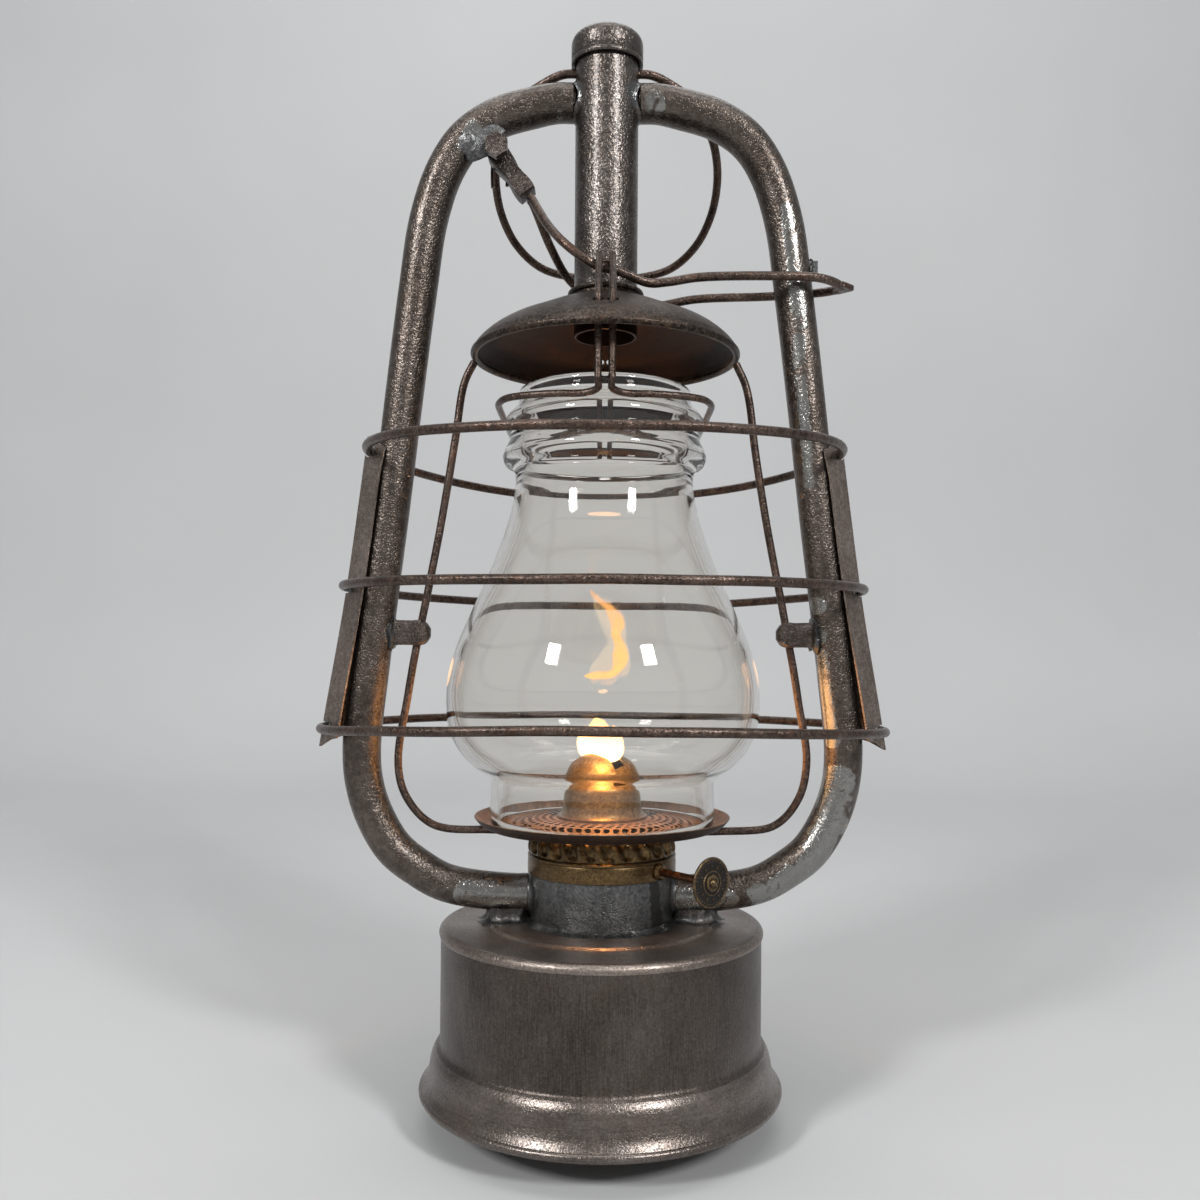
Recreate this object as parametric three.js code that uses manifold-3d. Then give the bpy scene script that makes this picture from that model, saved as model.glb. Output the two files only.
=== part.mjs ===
// Hurricane lantern: fount, side air tubes, sliding globe cage, lift lever and wire guards.
// Millimetres, +Z up. The origin is the centre of the foot, on the surface that it stands on.
// +X runs towards the lever's tip, and -Y faces the viewer.

import * as THREE from 'three';
import { mergeVertices } from 'three/addons/utils/BufferGeometryUtils.js';
import Module from 'manifold-3d';

const wasm = await Module();
wasm.setup();

// Clearances
const seatGap = 0.3; // between two pieces that touch
const slideGap = 0.5; // between two pieces that slide or turn on each other
const cutOverrun = 2; // how far a cutting tool runs past the wall that it cuts
const weldTolerance = 0.0001;

// Fount
const fountRadius = 54;
const fountWall = 0.9;
const lidBorderHeight = 55.4;
const lidDiscRise = 0.6; // of the lid's raised disc above its border
const fountTopHeight = lidBorderHeight + lidDiscRise;
const lidSkirtHeight = 2.8; // how far the lid's rolled edge comes down the side
const lidEdgeProud = 0.6; // how far the lid's edge stands out past the side
const lidThickness = 0.8;
const lidHoleRadius = 14; // under the burner
const footFlare = 7; // of the foot past the side
const footRadius = fountRadius + footFlare;
const footBeadRadius = 1.4;
const footFlatWidth = 1.6; // flat under the bead, which meets the table
const footHeight = 17; // height where the foot's shoulder meets the side
const bottomRecess = 3; // height of the fount's underside above the table
const bottomInset = 2.9; // of the bottom's edge from the foot's
const bottomRadius = footRadius - bottomInset;
const bottomRingWidth = 1.2; // upturned edge of the bottom

// Neck, side tubes' inlets and the burner's cap
const neckRadius = 24;
const neckWall = 1;
const tubeRadius = 6.5;
const tubeWall = 0.9;
const tubeLift = 2.5; // of the side tubes above the lid where they enter the neck
const tubeInletHeight = fountTopHeight + tubeLift + tubeRadius; // of the tubes' middle
const saddleLength = 13;
const saddleWidth = 15;
const lidDiscRadius = neckRadius + saddleLength;
const neckReach = 2.4; // above the side tubes
const neckTopHeight = tubeInletHeight + tubeRadius + neckReach;
const burnerCapWall = 0.8;
const burnerCapRadius = neckRadius + seatGap + burnerCapWall;
const burnerCapLap = 1.4; // over the neck
const burnerCapRise = 5.3; // above the neck
const burnerCapBottomHeight = neckTopHeight - burnerCapLap;
const burnerCapTopHeight = neckTopHeight + burnerCapRise;
const burnerCapBeadHeight = 1;

// Globe, whose radii are shares of its bulge's
const globeRadius = 52.9;
const globeFootShare = 0.716;
const globeHeight = 146.2; // from its foot to its top rim
const globeWall = 2.4;

// Gallery and globe plate
const galleryHeight = 11.6; // from the cap to the top of the globe plate
const galleryInset = 4.5; // of its top from the cap's edge
const fluteCount = 24;
const fluteDepth = 1.3;
const fluteTopRadius = burnerCapRadius - galleryInset;
const fluteWall = 0.7;
const plateThickness = 0.8;
const plateTopHeight = burnerCapTopHeight + galleryHeight;
const plateHoleRadius = 11.4;
const plateDiscRadius = 22.5;
const plateDip = 2.2; // of the globe's seat below the disc
const plateSeatHeight = plateTopHeight - plateDip;
const plateSeatWidth = 5.1;
const plateSeatLip = 0.7; // of the seat past the globe's foot
const plateSeatRadius = globeRadius * globeFootShare + plateSeatLip;
const plateRimWidth = 4.6;
const plateRimRise = 3; // of the flared rim over the seat
const plateRimRadius = plateSeatRadius + plateRimWidth;
const ventRadius = 1.1;
const ventRingRadii = [24, 29];
const ventCounts = [14, 18];

// Burner cone
const coneFootRadius = 13.6;
const coneShoulderRadius = 12.7;
const coneFlangeRadius = 15.2;
const coneWaistRise = 10.7; // from the plate to the dome
const coneDomeRise = 11;
const coneShoulderHeight = plateTopHeight + coneWaistRise;
const coneTopHeight = coneShoulderHeight + coneDomeRise;
const coneWall = 0.6;
const coneSlotLength = 21;
const coneSlotWidth = 5;

// Wick and its tube
const wickWidth = 19;
const wickThickness = 2.6;
const wickOffset = -1.2; // of the wick's middle from the burner's axis, away from the spindle
const wickTubeWall = 0.5;
const wickTubeDepth = 17.2; // below the top of the burner's cap
const wickTubeReach = 13.7; // above the globe plate
const wickTubeBottomHeight = burnerCapTopHeight - wickTubeDepth;
const wickTubeTopHeight = plateTopHeight + wickTubeReach;
const wickReach = 2; // above its tube
const wickFootGap = 11; // between the wick's end and the fount's bottom
const wickTopHeight = wickTubeTopHeight + wickReach;
const wickBottomHeight = bottomRecess + wickFootGap;

// Spindle and knob
const spindleAzimuth = THREE.MathUtils.degToRad(41.5); // from the viewer towards +X
const spindleRadius = 1;
const spindleDepth = 3.6; // of its middle below the top of the burner's cap
const spindleHeight = burnerCapTopHeight - spindleDepth;
const spindleOffset = 2.6; // of the spindle from the burner's axis, away from the wick
const knobReach = 21.9; // of the knob's back past the burner's cap
const spindleReach = burnerCapRadius + knobReach;
const spindleTail = 9; // past the axis, away from the knob
const wheelRadius = 2.05;
const wheelRootRadius = 1.5;
const wheelTeeth = 8;
const wheelWidth = 2;
const wheelSpread = 5; // of each feed wheel from the burner's axis
const glandRadius = 2;
const glandLength = 1.8;
const knobRadius = 8;
const knobThickness = 2.2;
const knobRimWidth = 1;
const knobRecess = 0.6;
const knobBossRadius = 2.6;
const knobRivetRadius = 1.3;

// Globe retainer's oval and legs, whose half-width and half-depth are shares of the globe's radius
const retainerWireRadius = 1.15;
const retainerWidthShare = 0.6616;
const retainerDepthShare = 0.6314;
const retainerHalfWidth = globeRadius * retainerWidthShare;
const retainerHalfDepth = globeRadius * retainerDepthShare;
const retainerDrop = 7.8; // below the globe's top rim
const hairpinSpread = 3.3; // of the upright legs past the oval
const hairpinReach = retainerHalfDepth + hairpinSpread;
const hairpinHalfWidth = 2.2;
const retainerHoleRadius = 1.9;

// Hood and its collar
const hoodOverhang = 8.2; // of its rim past the retainer's legs
const hoodRadius = hairpinReach + hoodOverhang;
const hoodLift = 11.8; // of its rim above the globe
const globeTopHeight = plateSeatHeight + seatGap + globeHeight;
const hoodRimHeight = globeTopHeight + hoodLift;
const hoodRise = 19.2; // from the rim's middle to the collar
const hoodTopHeight = hoodRimHeight + hoodRise;
const hoodWall = 0.8;
const hoodRimBeadRadius = 1.3;
const collarWall = 0.8;
const collarLap = 5.1; // below the hood's top
const collarHeight = 8;
const collarBottomHeight = hoodTopHeight - collarLap;
const collarTopHeight = collarBottomHeight + collarHeight;
const collarBeadRadius = 0.9;

// Chimney and cap
const chimneyRadius = 10.7;
const chimneyWall = 0.8;
const chimneyDip = 12.5; // of its lower end below the hood's top
const chimneyBottomHeight = hoodTopHeight - chimneyDip;
const archRise = 64.2; // of the side tubes' upper ends above the collar
const tubeTopHeight = collarTopHeight + archRise; // of the tubes' middle where they leave the chimney
const chimneyReach = 18.3; // above the middle of the side tubes
const chimneyTopHeight = tubeTopHeight + chimneyReach;
const capWall = 1.2; // its skirt is folded double
const capRadius = chimneyRadius + seatGap + capWall;
const capLap = 6; // over the chimney
const capRise = 5.5; // above the chimney
const capBottomHeight = chimneyTopHeight - capLap;
const capTopHeight = chimneyTopHeight + capRise;
const capShoulderRadius = 4;
const capCrown = 1.2; // rise of the cap's top over its shoulder

// Carry ring
const carryWireRadius = 1.5;
const carryPivotHeight = capBottomHeight - seatGap - slideGap - carryWireRadius;
const carryHalfWidth = 40;
const carryDrop = 72;
const carryTilt = THREE.MathUtils.degToRad(42); // how far it leans back at rest

// Cage wires: spreads are past the globe's bulge, rises and drops from the globe plate's disc
const cageWireRadius = 1.35;
const cageTopInset = 0.5; // from the hood's rim
const cageShoulderOverhang = 3; // past the hood's rim
const cageShoulderDrop = 9.2; // below the hood's rim
const cageWaistOverhang = 9; // past the hood's rim
const cageWaistRise = 107.8;
const cageLowSpread = 13.6;
const cageLowRise = 39.8;
const cageWideSpread = 16.5;
const cageWideRise = 17.7;
const cageBendSpread = 13.4;
const cageBendRise = 5.8;
const cageHeelSpread = 4.9;
const cageHeelDrop = 2.9;
const cageEndInset = 9.7; // from the plate's rim

// Side tubes from the inlets up, given on the right: the left one is its mirror image
const tubeSpread = 12.4; // of the tube's middle line past the cage wires, both at their widest
const tubeWideReach = globeRadius + cageWideSpread + tubeSpread;

// Guide eyes
const eyeRise = 62.2; // of their middle above the globe plate's disc
const eyeHeight = plateTopHeight + eyeRise;
const eyeTall = 8.6;
const eyeWall = 1.4;
const eyeInnerSpread = 7.1; // of the slot's inner end past the globe's bulge
const eyeOuterSpread = 15.9; // of the slot's outer end past the globe's bulge
const eyeInnerReach = globeRadius + eyeInnerSpread;
const eyeOuterReach = globeRadius + eyeOuterSpread;

// Lift lever
const leverWireRadius = 1.5;
const leverPivotInset = 45.1; // of the pivot from the side tube's widest reach
const leverPivotReach = tubeWideReach - leverPivotInset; // on the left side
const leverPivotDrop = 18; // below the middle of the side tubes' upper ends
const leverPivotHeight = tubeTopHeight - leverPivotDrop;
const leverBoltRadius = 1.6;
const leverBoltHeadRadius = 4.2;
const leverBoltHeadLength = 3;
const leverLugThickness = 2;
const leverLugFront = 6.1; // of the lug's front face from the lantern's middle
const leverLugWidth = 8.4;
const leverLugRise = 11.3; // above the pivot
const splitPinRadius = 0.6;
const splitPinLength = 9;
const ferruleThickness = 7.2;
const ferruleWidth = 7.4;
const ferruleLength = 17; // from the pivot to where the wires leave it
const ferruleSlope = THREE.MathUtils.degToRad(53); // below the horizontal
const leverWireSpread = 1.8; // of each wire from the middle where it leaves the ferrule
const leverChimneyGap = 7.5; // of the wires' middle from the chimney at the widest
const leverHalfGap = chimneyRadius + leverChimneyGap;
const leverKinkDrop = 0.9; // of the lowest point of the wires below the collar's top
const leverKinkHeight = collarTopHeight - leverKinkDrop;
const leverNoseInset = 1.8; // of the closed end's bend from the side tube's widest reach
const leverNoseReach = tubeWideReach - leverNoseInset;
const leverTipLength = 4.4;
const leverTipThickness = 1.9;
const leverTipHalfWidth = 4.6;
const catchInset = 10.2; // of the catch's face from the side tube's widest reach
const catchReach = tubeWideReach - catchInset;
const catchRise = 8.9; // above the lowest point of the lever's wires
const catchHeight = leverKinkHeight + catchRise;
const catchTall = 5;
const catchWidth = 5;

// Globe retainer's hooks, which hang over the lever's wires
const hairpinBendRise = 11.7; // of the legs' bend above the hood's rim
const hairpinBendHeight = hoodRimHeight + hairpinBendRise;
const hairpinTopRise = 7.9; // of the hooks above the lowest point of the lever's wires
const hairpinTopHeight = leverKinkHeight + hairpinTopRise;
const hairpinTipGap = 3.9; // of the hooks' tips from the chimney
const hairpinTipReach = chimneyRadius + hairpinTipGap;
const hairpinTipDrop = 1.6;

// Guards: spreads are past the side tubes' widest reach, rises from the globe plate's disc
const guardWireRadius = 1.55;
const guardDepthSpread = 11.7; // past the globe's bulge in front and behind
const guardHalfDepth = globeRadius + guardDepthSpread;
const guardRises = { lower: 30.1, middle: 77.3, upper: 123.4 };
const guardSpreads = { lower: 12.8, middle: 5.4, upper: -2 };
const guardFrontBows = { lower: 3.4, middle: -0.7, upper: -3.1 };
const guardBackBows = { lower: 0.7, middle: -2.9, upper: -6.5 };
const stripTopSpread = -1.2; // of the strip's corner
const stripTopRise = 128.8;
const stripMiddleSpread = 6.1;
const stripMiddleRise = 74.2;
const stripLowSpread = 12.4;
const stripLowRise = 37;
const stripBottomSpread = 14.6;
const stripBottomRise = 23.4;
const stripFlange = 10;
const stripThickness = 0.6;
const stripPoint = 5; // how far its pointed ends reach past their corners

// Mesh counts
const roundSegments = 36;
const smallSegments = 20;
const wireSides = 6;

// Materials
const finish = (color, roughness, metalness) => (
  new THREE.MeshStandardMaterial({ color, roughness, metalness })
);
const agedSteel = finish(0x6b6058, 0.45, 0.8);
const solderedSteel = finish(0x7b7f81, 0.5, 0.85);
const rustyWire = finish(0x5c4336, 0.6, 0.7);
const agedBrass = finish(0x9a7a3e, 0.4, 0.9);
const rustyPlate = finish(0x8e5f3f, 0.65, 0.6);
const glass = new THREE.MeshStandardMaterial({ color: 0xdfe6e0, roughness: 0.05, transparent: true,
  opacity: 0.35 });
const cotton = finish(0xcfc3a8, 0.95, 0);

// Geometry helpers

/** Joins equal corners and drops the faces that have no area, so that only one closed skin is left. */
function weld(geometry) {
  geometry.deleteAttribute('normal');
  geometry.deleteAttribute('uv');
  const welded = mergeVertices(geometry, weldTolerance);
  const corners = welded.index.array;
  const kept = [];
  for (let i = 0; i < corners.length; i += 3) {
    const face = [corners[i], corners[i + 1], corners[i + 2]];
    if (new Set(face).size === 3) kept.push(...face);
  }
  welded.setIndex(kept);
  return outward(welded);
}

/** Turns a closed skin so that its faces point out. */
function outward(geometry) {
  const corners = geometry.index.array;
  const a = new THREE.Vector3();
  const b = new THREE.Vector3();
  const c = new THREE.Vector3();
  let volume = 0;
  for (let i = 0; i < corners.length; i += 3) {
    a.fromBufferAttribute(geometry.attributes.position, corners[i]);
    b.fromBufferAttribute(geometry.attributes.position, corners[i + 1]);
    c.fromBufferAttribute(geometry.attributes.position, corners[i + 2]);
    volume += a.dot(b.cross(c));
  }
  if (volume < 0) geometry.setIndex(Array.from(corners).reverse());
  return geometry;
}

/** Makes a solid that can be cut or joined out of a closed skin. */
function toSolid(geometry) {
  const vertProperties = new Float32Array(geometry.attributes.position.array);
  const triVerts = new Uint32Array(geometry.index.array);
  return new wasm.Manifold(new wasm.Mesh({ numProp: 3, vertProperties, triVerts }));
}

/** Makes a geometry out of a solid. */
function fromSolid(solid) {
  const mesh = solid.getMesh();
  const geometry = new THREE.BufferGeometry();
  geometry.setAttribute('position', new THREE.BufferAttribute(mesh.vertProperties, 3));
  geometry.setIndex(new THREE.BufferAttribute(mesh.triVerts, 1));
  return geometry;
}

/** Cuts every tool out of a body. */
function cut(body, ...tools) {
  return fromSolid(tools.reduce((solid, tool) => solid.subtract(toSolid(tool)), toSolid(body)));
}

/** Joins bodies that overlap into one. */
function join(...bodies) {
  return fromSolid(bodies.slice(1).reduce((solid, body) => solid.add(toSolid(body)), toSolid(bodies[0])));
}

/** Turns an outline of [radius, height] pairs round the Z axis. */
function turned(outline, segments = roundSegments) {
  const points = outline.map(([radius, height]) => new THREE.Vector2(radius, height));
  return weld(new THREE.LatheGeometry(points, segments).rotateX(Math.PI / 2));
}

/** Turns an outline that closes on itself round the Z axis. */
function turnedShell(outline, segments = roundSegments) {
  return turned([...outline, outline[0]], segments);
}

/** Points of an arc in an outline, from one angle to another in degrees. */
function arc(centreRadius, centreHeight, radius, from, to, steps) {
  const points = [];
  for (let i = 0; i <= steps; i += 1) {
    const angle = THREE.MathUtils.degToRad(from + ((to - from) * i) / steps);
    points.push([centreRadius + radius * Math.cos(angle), centreHeight + radius * Math.sin(angle)]);
  }
  return points;
}

/** A second line beside an outline, at the wall's thickness from it, on its left as it runs. */
function beside(outline, wall) {
  return outline.map((point, i) => {
    const before = outline[Math.max(i - 1, 0)];
    const after = outline[Math.min(i + 1, outline.length - 1)];
    const run = new THREE.Vector2(after[0] - before[0], after[1] - before[1]).normalize();
    return [point[0] - run.y * wall, point[1] + run.x * wall];
  });
}

/** A solid of one wall's thickness that follows an outline round the Z axis. */
function turnedSheet(outline, wall, segments = roundSegments) {
  return turnedShell([...outline, ...beside(outline, wall).reverse()], segments);
}

/** A smooth curve through points given as [x, y, z]. Its sections bunch where the points bunch. */
function curveThrough(points, closed = false) {
  const corners = points.map((point) => new THREE.Vector3(...point));
  const curve = new THREE.CatmullRomCurve3(corners, closed, 'centripetal');
  curve.getUtoTmapping = (share) => share;
  return curve;
}

/** A round rod through points, with a few sections for each point. */
function rod(points, radius, sectionsPerPoint = 2, sides = wireSides) {
  const section = new THREE.Shape().absarc(0, 0, radius, 0, 2 * Math.PI);
  const steps = (points.length - 1) * sectionsPerPoint;
  const extrudePath = curveThrough(points);
  const settings = { steps, curveSegments: sides / 2, extrudePath, bevelEnabled: false };
  return weld(new THREE.ExtrudeGeometry(section, settings));
}

/** A loop of wire through points, which closes on itself. */
function wireLoop(points, radius, sectionsPerPoint = 2, sides = wireSides) {
  const steps = points.length * sectionsPerPoint;
  return weld(new THREE.TubeGeometry(curveThrough(points, true), steps, radius, sides, true));
}

/** A straight round bar from a point along a direction. */
function bar(from, direction, length, radius, segments = smallSegments) {
  const geometry = new THREE.CylinderGeometry(radius, radius, length, segments);
  geometry.rotateX(Math.PI / 2).translate(0, 0, length / 2);
  const up = new THREE.Vector3(0, 0, 1);
  const turn = new THREE.Quaternion().setFromUnitVectors(up, direction.clone().normalize());
  geometry.applyQuaternion(turn).translate(from.x, from.y, from.z);
  return weld(geometry);
}

/** A block that is centred on a point. */
function block(sizeX, sizeY, sizeZ, x, y, z) {
  return weld(new THREE.BoxGeometry(sizeX, sizeY, sizeZ).translate(x, y, z));
}

/** A copy of a geometry, mirrored left to right. */
function mirrored(geometry) {
  const copy = geometry.clone();
  copy.scale(-1, 1, 1);
  return outward(copy);
}

const lantern = new THREE.Group();
lantern.name = 'hurricane_lantern';

/** Adds a named piece to the lantern or to one of its groups. */
function addPiece(name, geometry, material, group = lantern) {
  const mesh = new THREE.Mesh(geometry, material);
  mesh.name = name;
  group.add(mesh);
  return mesh;
}

// Fount

/** The fount's side with its shouldered foot and rolled bead. */
function fountShell() {
  const beadCentre = footRadius - footBeadRadius;
  const flare = footRadius - fountRadius;
  const flareShares = [[0.66, 0.32], [0.5, 0.5], [0.44, 0.68], [0.34, 0.8], [0.14, 0.93], [0, 1.06]];
  const side = flareShares.map(([out, up]) => [fountRadius + flare * out, footHeight * up]);
  const bead = arc(beadCentre, footBeadRadius, footBeadRadius, -35, 75, 4);
  const sideTop = [fountRadius, lidBorderHeight - lidSkirtHeight];
  const outside = [[beadCentre + footFlatWidth / 2, 0], ...bead, ...side, sideTop];
  const inside = beside([bead[bead.length - 1], ...side, sideTop], fountWall).reverse();
  return turnedShell([...outside, ...inside, [beadCentre - footFlatWidth / 2, 0]]);
}

/** The recessed bottom with its upturned edge. */
function fountBottom() {
  const top = bottomRecess + fountWall;
  const corner = bottomRadius - bottomRingWidth;
  return turned([[0, bottomRecess], [corner, bottomRecess], [bottomRadius, top],
    [bottomRadius - fountWall, top + fountWall], [corner - fountWall, top], [0, top]]);
}

/** The lid with its rolled edge, raised disc and the hole under the burner. */
function fountTop() {
  const skirtBottom = lidBorderHeight - lidSkirtHeight + seatGap;
  const edge = fountRadius + lidEdgeProud;
  const corner = lidSkirtHeight - 2 * seatGap;
  const rim = arc(edge - corner, lidBorderHeight - corner, corner, 0, 90, 4);
  const discEdge = lidDiscRadius + lidDiscRise;
  const upper = [[edge, skirtBottom], ...rim, [discEdge, lidBorderHeight], [lidDiscRadius, fountTopHeight],
    [lidHoleRadius, fountTopHeight]];
  const lower = [[lidHoleRadius, fountTopHeight - lidThickness],
    [lidDiscRadius - lidDiscRise, fountTopHeight - lidThickness],
    [lidDiscRadius, lidBorderHeight - lidThickness], [edge - corner, lidBorderHeight - lidThickness],
    [fountRadius - fountWall, skirtBottom]];
  return turnedShell([...upper, ...lower]);
}

addPiece('fount_shell', fountShell(), agedSteel);
addPiece('fount_bottom', fountBottom(), agedSteel);
addPiece('fount_top', fountTop(), agedSteel);

// Side tubes

/** The middle line of the right side tube, from the neck up to the chimney. */
function tubeLine() {
  const shares = [[0.641, 0.011], [0.77, 0.032], [0.866, 0.056], [0.949, 0.099], [0.99, 0.14], [1, 0.186],
    [0.968, 0.283], [0.929, 0.383], [0.89, 0.4765], [0.835, 0.625], [0.781, 0.76], [0.737, 0.852],
    [0.669, 0.915], [0.581, 0.9545], [0.457, 0.98], [0.312, 0.9935]];
  const rise = tubeTopHeight - tubeInletHeight;
  const place = ([out, up]) => [tubeWideReach * out, 0, tubeInletHeight + rise * up];
  return [
    [neckRadius - tubeRadius, 0, tubeInletHeight],
    [neckRadius + tubeRadius, 0, tubeInletHeight],
    ...shares.map(place),
    [chimneyRadius + tubeRadius, 0, tubeTopHeight],
    [chimneyRadius - tubeRadius, 0, tubeTopHeight],
  ];
}

const tubeSides = 12;
const boreSides = 6;

/** The right side tube, ended against the neck and the chimney. */
function sideTube() {
  const tube = rod(tubeLine(), tubeRadius, 1, tubeSides);
  const bore = rod(tubeLine(), tubeRadius - tubeWall, 1, boreSides);
  const up = new THREE.Vector3(0, 0, 1);
  const neckCutHeight = tubeInletHeight + 2 * tubeRadius;
  const neckCut = bar(new THREE.Vector3(0, 0, 0), up, neckCutHeight, neckRadius + seatGap, roundSegments);
  const chimneyFrom = new THREE.Vector3(0, 0, tubeTopHeight - 2 * tubeRadius);
  const chimneyCut = bar(chimneyFrom, up, 4 * tubeRadius, chimneyRadius + seatGap);
  return cut(tube, bore, neckCut, chimneyCut);
}

/** A rod on the tube's line but fatter, to cut a seat into what touches the tube. */
function sideTubeSeat() {
  return rod(tubeLine(), tubeRadius + seatGap, 1, tubeSides);
}

const rightTube = sideTube();
addPiece('side_tube_right', rightTube, agedSteel);
addPiece('side_tube_left', mirrored(rightTube), agedSteel);

/** The solder saddle that carries the right tube on the lid. */
function tubeSaddle() {
  const bottom = fountTopHeight + seatGap;
  const tall = tubeInletHeight - bottom;
  const middle = neckRadius + seatGap + saddleLength / 2;
  const shape = new THREE.Shape().absellipse(0, 0, saddleLength / 2, saddleWidth / 2, 0, 2 * Math.PI);
  const settings = { depth: tall, curveSegments: smallSegments / 2, bevelEnabled: false };
  const lump = weld(new THREE.ExtrudeGeometry(shape, settings).translate(middle, 0, bottom));
  const shorn = block(saddleLength + cutOverrun, saddleWidth + cutOverrun, tall, middle, 0, bottom + tall);
  return cut(lump, sideTubeSeat(), shorn);
}

const rightSaddle = tubeSaddle();
addPiece('tube_saddle_right', rightSaddle, solderedSteel);
addPiece('tube_saddle_left', mirrored(rightSaddle), solderedSteel);

// Burner

const acrossWick = new THREE.Vector3(Math.cos(spindleAzimuth), Math.sin(spindleAzimuth), 0);
const alongSpindle = new THREE.Vector3(Math.sin(spindleAzimuth), -Math.cos(spindleAzimuth), 0);
const wickTubeLength = wickWidth + 2 * (seatGap + wickTubeWall);
const wickTubeWidth = wickThickness + 2 * (seatGap + wickTubeWall);

/** A point on the burner, along the spindle and across the wick from its axis. */
function burnerPoint(along, across, height) {
  return alongSpindle.clone().multiplyScalar(along).addScaledVector(acrossWick, across).setZ(height);
}

/** A flat block that stands in the wick's plane. */
function wickBlock(length, width, bottom, top, across = wickOffset) {
  const geometry = new THREE.BoxGeometry(width, length, top - bottom);
  geometry.rotateZ(spindleAzimuth);
  geometry.translate(acrossWick.x * across, acrossWick.y * across, (top + bottom) / 2);
  return weld(geometry);
}

/** The steel neck that the air tubes open into. */
function burnerNeck() {
  const bottom = fountTopHeight + seatGap;
  const inner = neckRadius - neckWall;
  const outside = [[neckRadius, bottom], [neckRadius, neckTopHeight]];
  const wall = turnedShell([...outside, [inner, neckTopHeight], [inner, bottom]]);
  const from = new THREE.Vector3(-neckRadius - cutOverrun, 0, tubeInletHeight);
  const right = new THREE.Vector3(1, 0, 0);
  return cut(wall, bar(from, right, 2 * (neckRadius + cutOverrun), tubeRadius - tubeWall));
}

/** The brass cap that fits over the neck and carries the wick tube. */
function burnerCap() {
  const inner = burnerCapRadius - burnerCapWall;
  const deck = burnerCapTopHeight - burnerCapWall;
  const beadHeight = burnerCapTopHeight - burnerCapBeadHeight;
  const wall = turned([[0, burnerCapTopHeight],
    [burnerCapRadius - burnerCapBeadHeight / 2, burnerCapTopHeight],
    [burnerCapRadius, beadHeight], [burnerCapRadius, burnerCapBottomHeight], [inner, burnerCapBottomHeight],
    [inner, deck], [0, deck]].reverse());
  const slot = wickBlock(wickTubeLength + 2 * seatGap, wickTubeWidth + 2 * seatGap, deck - cutOverrun,
    burnerCapTopHeight + cutOverrun);
  return cut(wall, slot, spindleBar(glandRadius + seatGap, 0, burnerCapRadius + cutOverrun));
}

/** A bar on the spindle's line between two distances from the burner's axis. */
function spindleBar(radius, from, to, segments = 10) {
  return bar(burnerPoint(from, spindleOffset, spindleHeight), alongSpindle, to - from, radius, segments);
}

/** The crimped brass gallery that carries the globe plate. */
function burnerGallery() {
  const bottom = burnerCapTopHeight + seatGap;
  const top = plateTopHeight - plateThickness - seatGap;
  const bottomRadius = burnerCapRadius - fluteDepth;
  const wallShares = [[1, 0], [0.97, 0.28], [0.55, 0.5], [0, 0.62], [0, 1]];
  const line = wallShares.map(([out, up]) => [fluteTopRadius + (bottomRadius - fluteTopRadius) * out,
    bottom + (top - bottom) * up]);
  const gallery = turnedSheet(line, fluteWall, 2 * fluteCount);
  const places = gallery.attributes.position;
  for (let i = 0; i < places.count; i += 1) {
    const radius = Math.hypot(places.getX(i), places.getY(i));
    const flute = Math.round((Math.atan2(places.getY(i), places.getX(i)) / Math.PI) * fluteCount);
    const out = (radius - fluteTopRadius) / (bottomRadius - fluteTopRadius);
    const raised = flute % 2 === 0 ? fluteDepth * THREE.MathUtils.clamp(out, 0, 1) : 0;
    places.setXY(i, places.getX(i) * (1 + raised / radius), places.getY(i) * (1 + raised / radius));
  }
  return gallery;
}

/** The flat tube that guides the wick, with a window for each feed wheel. */
function wickTube() {
  const outside = wickBlock(wickTubeLength, wickTubeWidth, wickTubeBottomHeight, wickTubeTopHeight);
  const inside = wickBlock(wickWidth + 2 * seatGap, wickThickness + 2 * seatGap,
    wickTubeBottomHeight - cutOverrun,
    wickTubeTopHeight + cutOverrun);
  const windowSize = 2 * (wheelRadius + seatGap);
  const windows = [-1, 1].map((side) => {
    const windowWidth = wheelWidth + 2 * seatGap;
    const geometry = new THREE.BoxGeometry(wickTubeWidth, windowWidth, windowSize);
    geometry.rotateZ(spindleAzimuth);
    const place = burnerPoint(side * wheelSpread, wickOffset + wickTubeWidth / 2, spindleHeight);
    return weld(geometry.translate(place.x, place.y, place.z));
  });
  return cut(outside, inside, ...windows);
}

/** A toothed wheel on the spindle that feeds the wick. */
function feedWheel(side) {
  const shape = new THREE.Shape();
  for (let i = 0; i < 2 * wheelTeeth; i += 1) {
    const radius = i % 2 === 0 ? wheelRadius : wheelRootRadius;
    const angle = (Math.PI * i) / wheelTeeth;
    shape[i === 0 ? 'moveTo' : 'lineTo'](radius * Math.cos(angle), radius * Math.sin(angle));
  }
  shape.closePath();
  shape.holes.push(new THREE.Path().absarc(0, 0, spindleRadius + seatGap / 2, 0, 2 * Math.PI, true));
  const settings = { depth: wheelWidth, curveSegments: 5, bevelEnabled: false };
  const geometry = new THREE.ExtrudeGeometry(shape, settings);
  const turn = new THREE.Quaternion().setFromUnitVectors(new THREE.Vector3(0, 0, 1), alongSpindle);
  const place = burnerPoint(side * wheelSpread - wheelWidth / 2, spindleOffset, spindleHeight);
  return weld(geometry.applyQuaternion(turn).translate(place.x, place.y, place.z));
}

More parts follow.
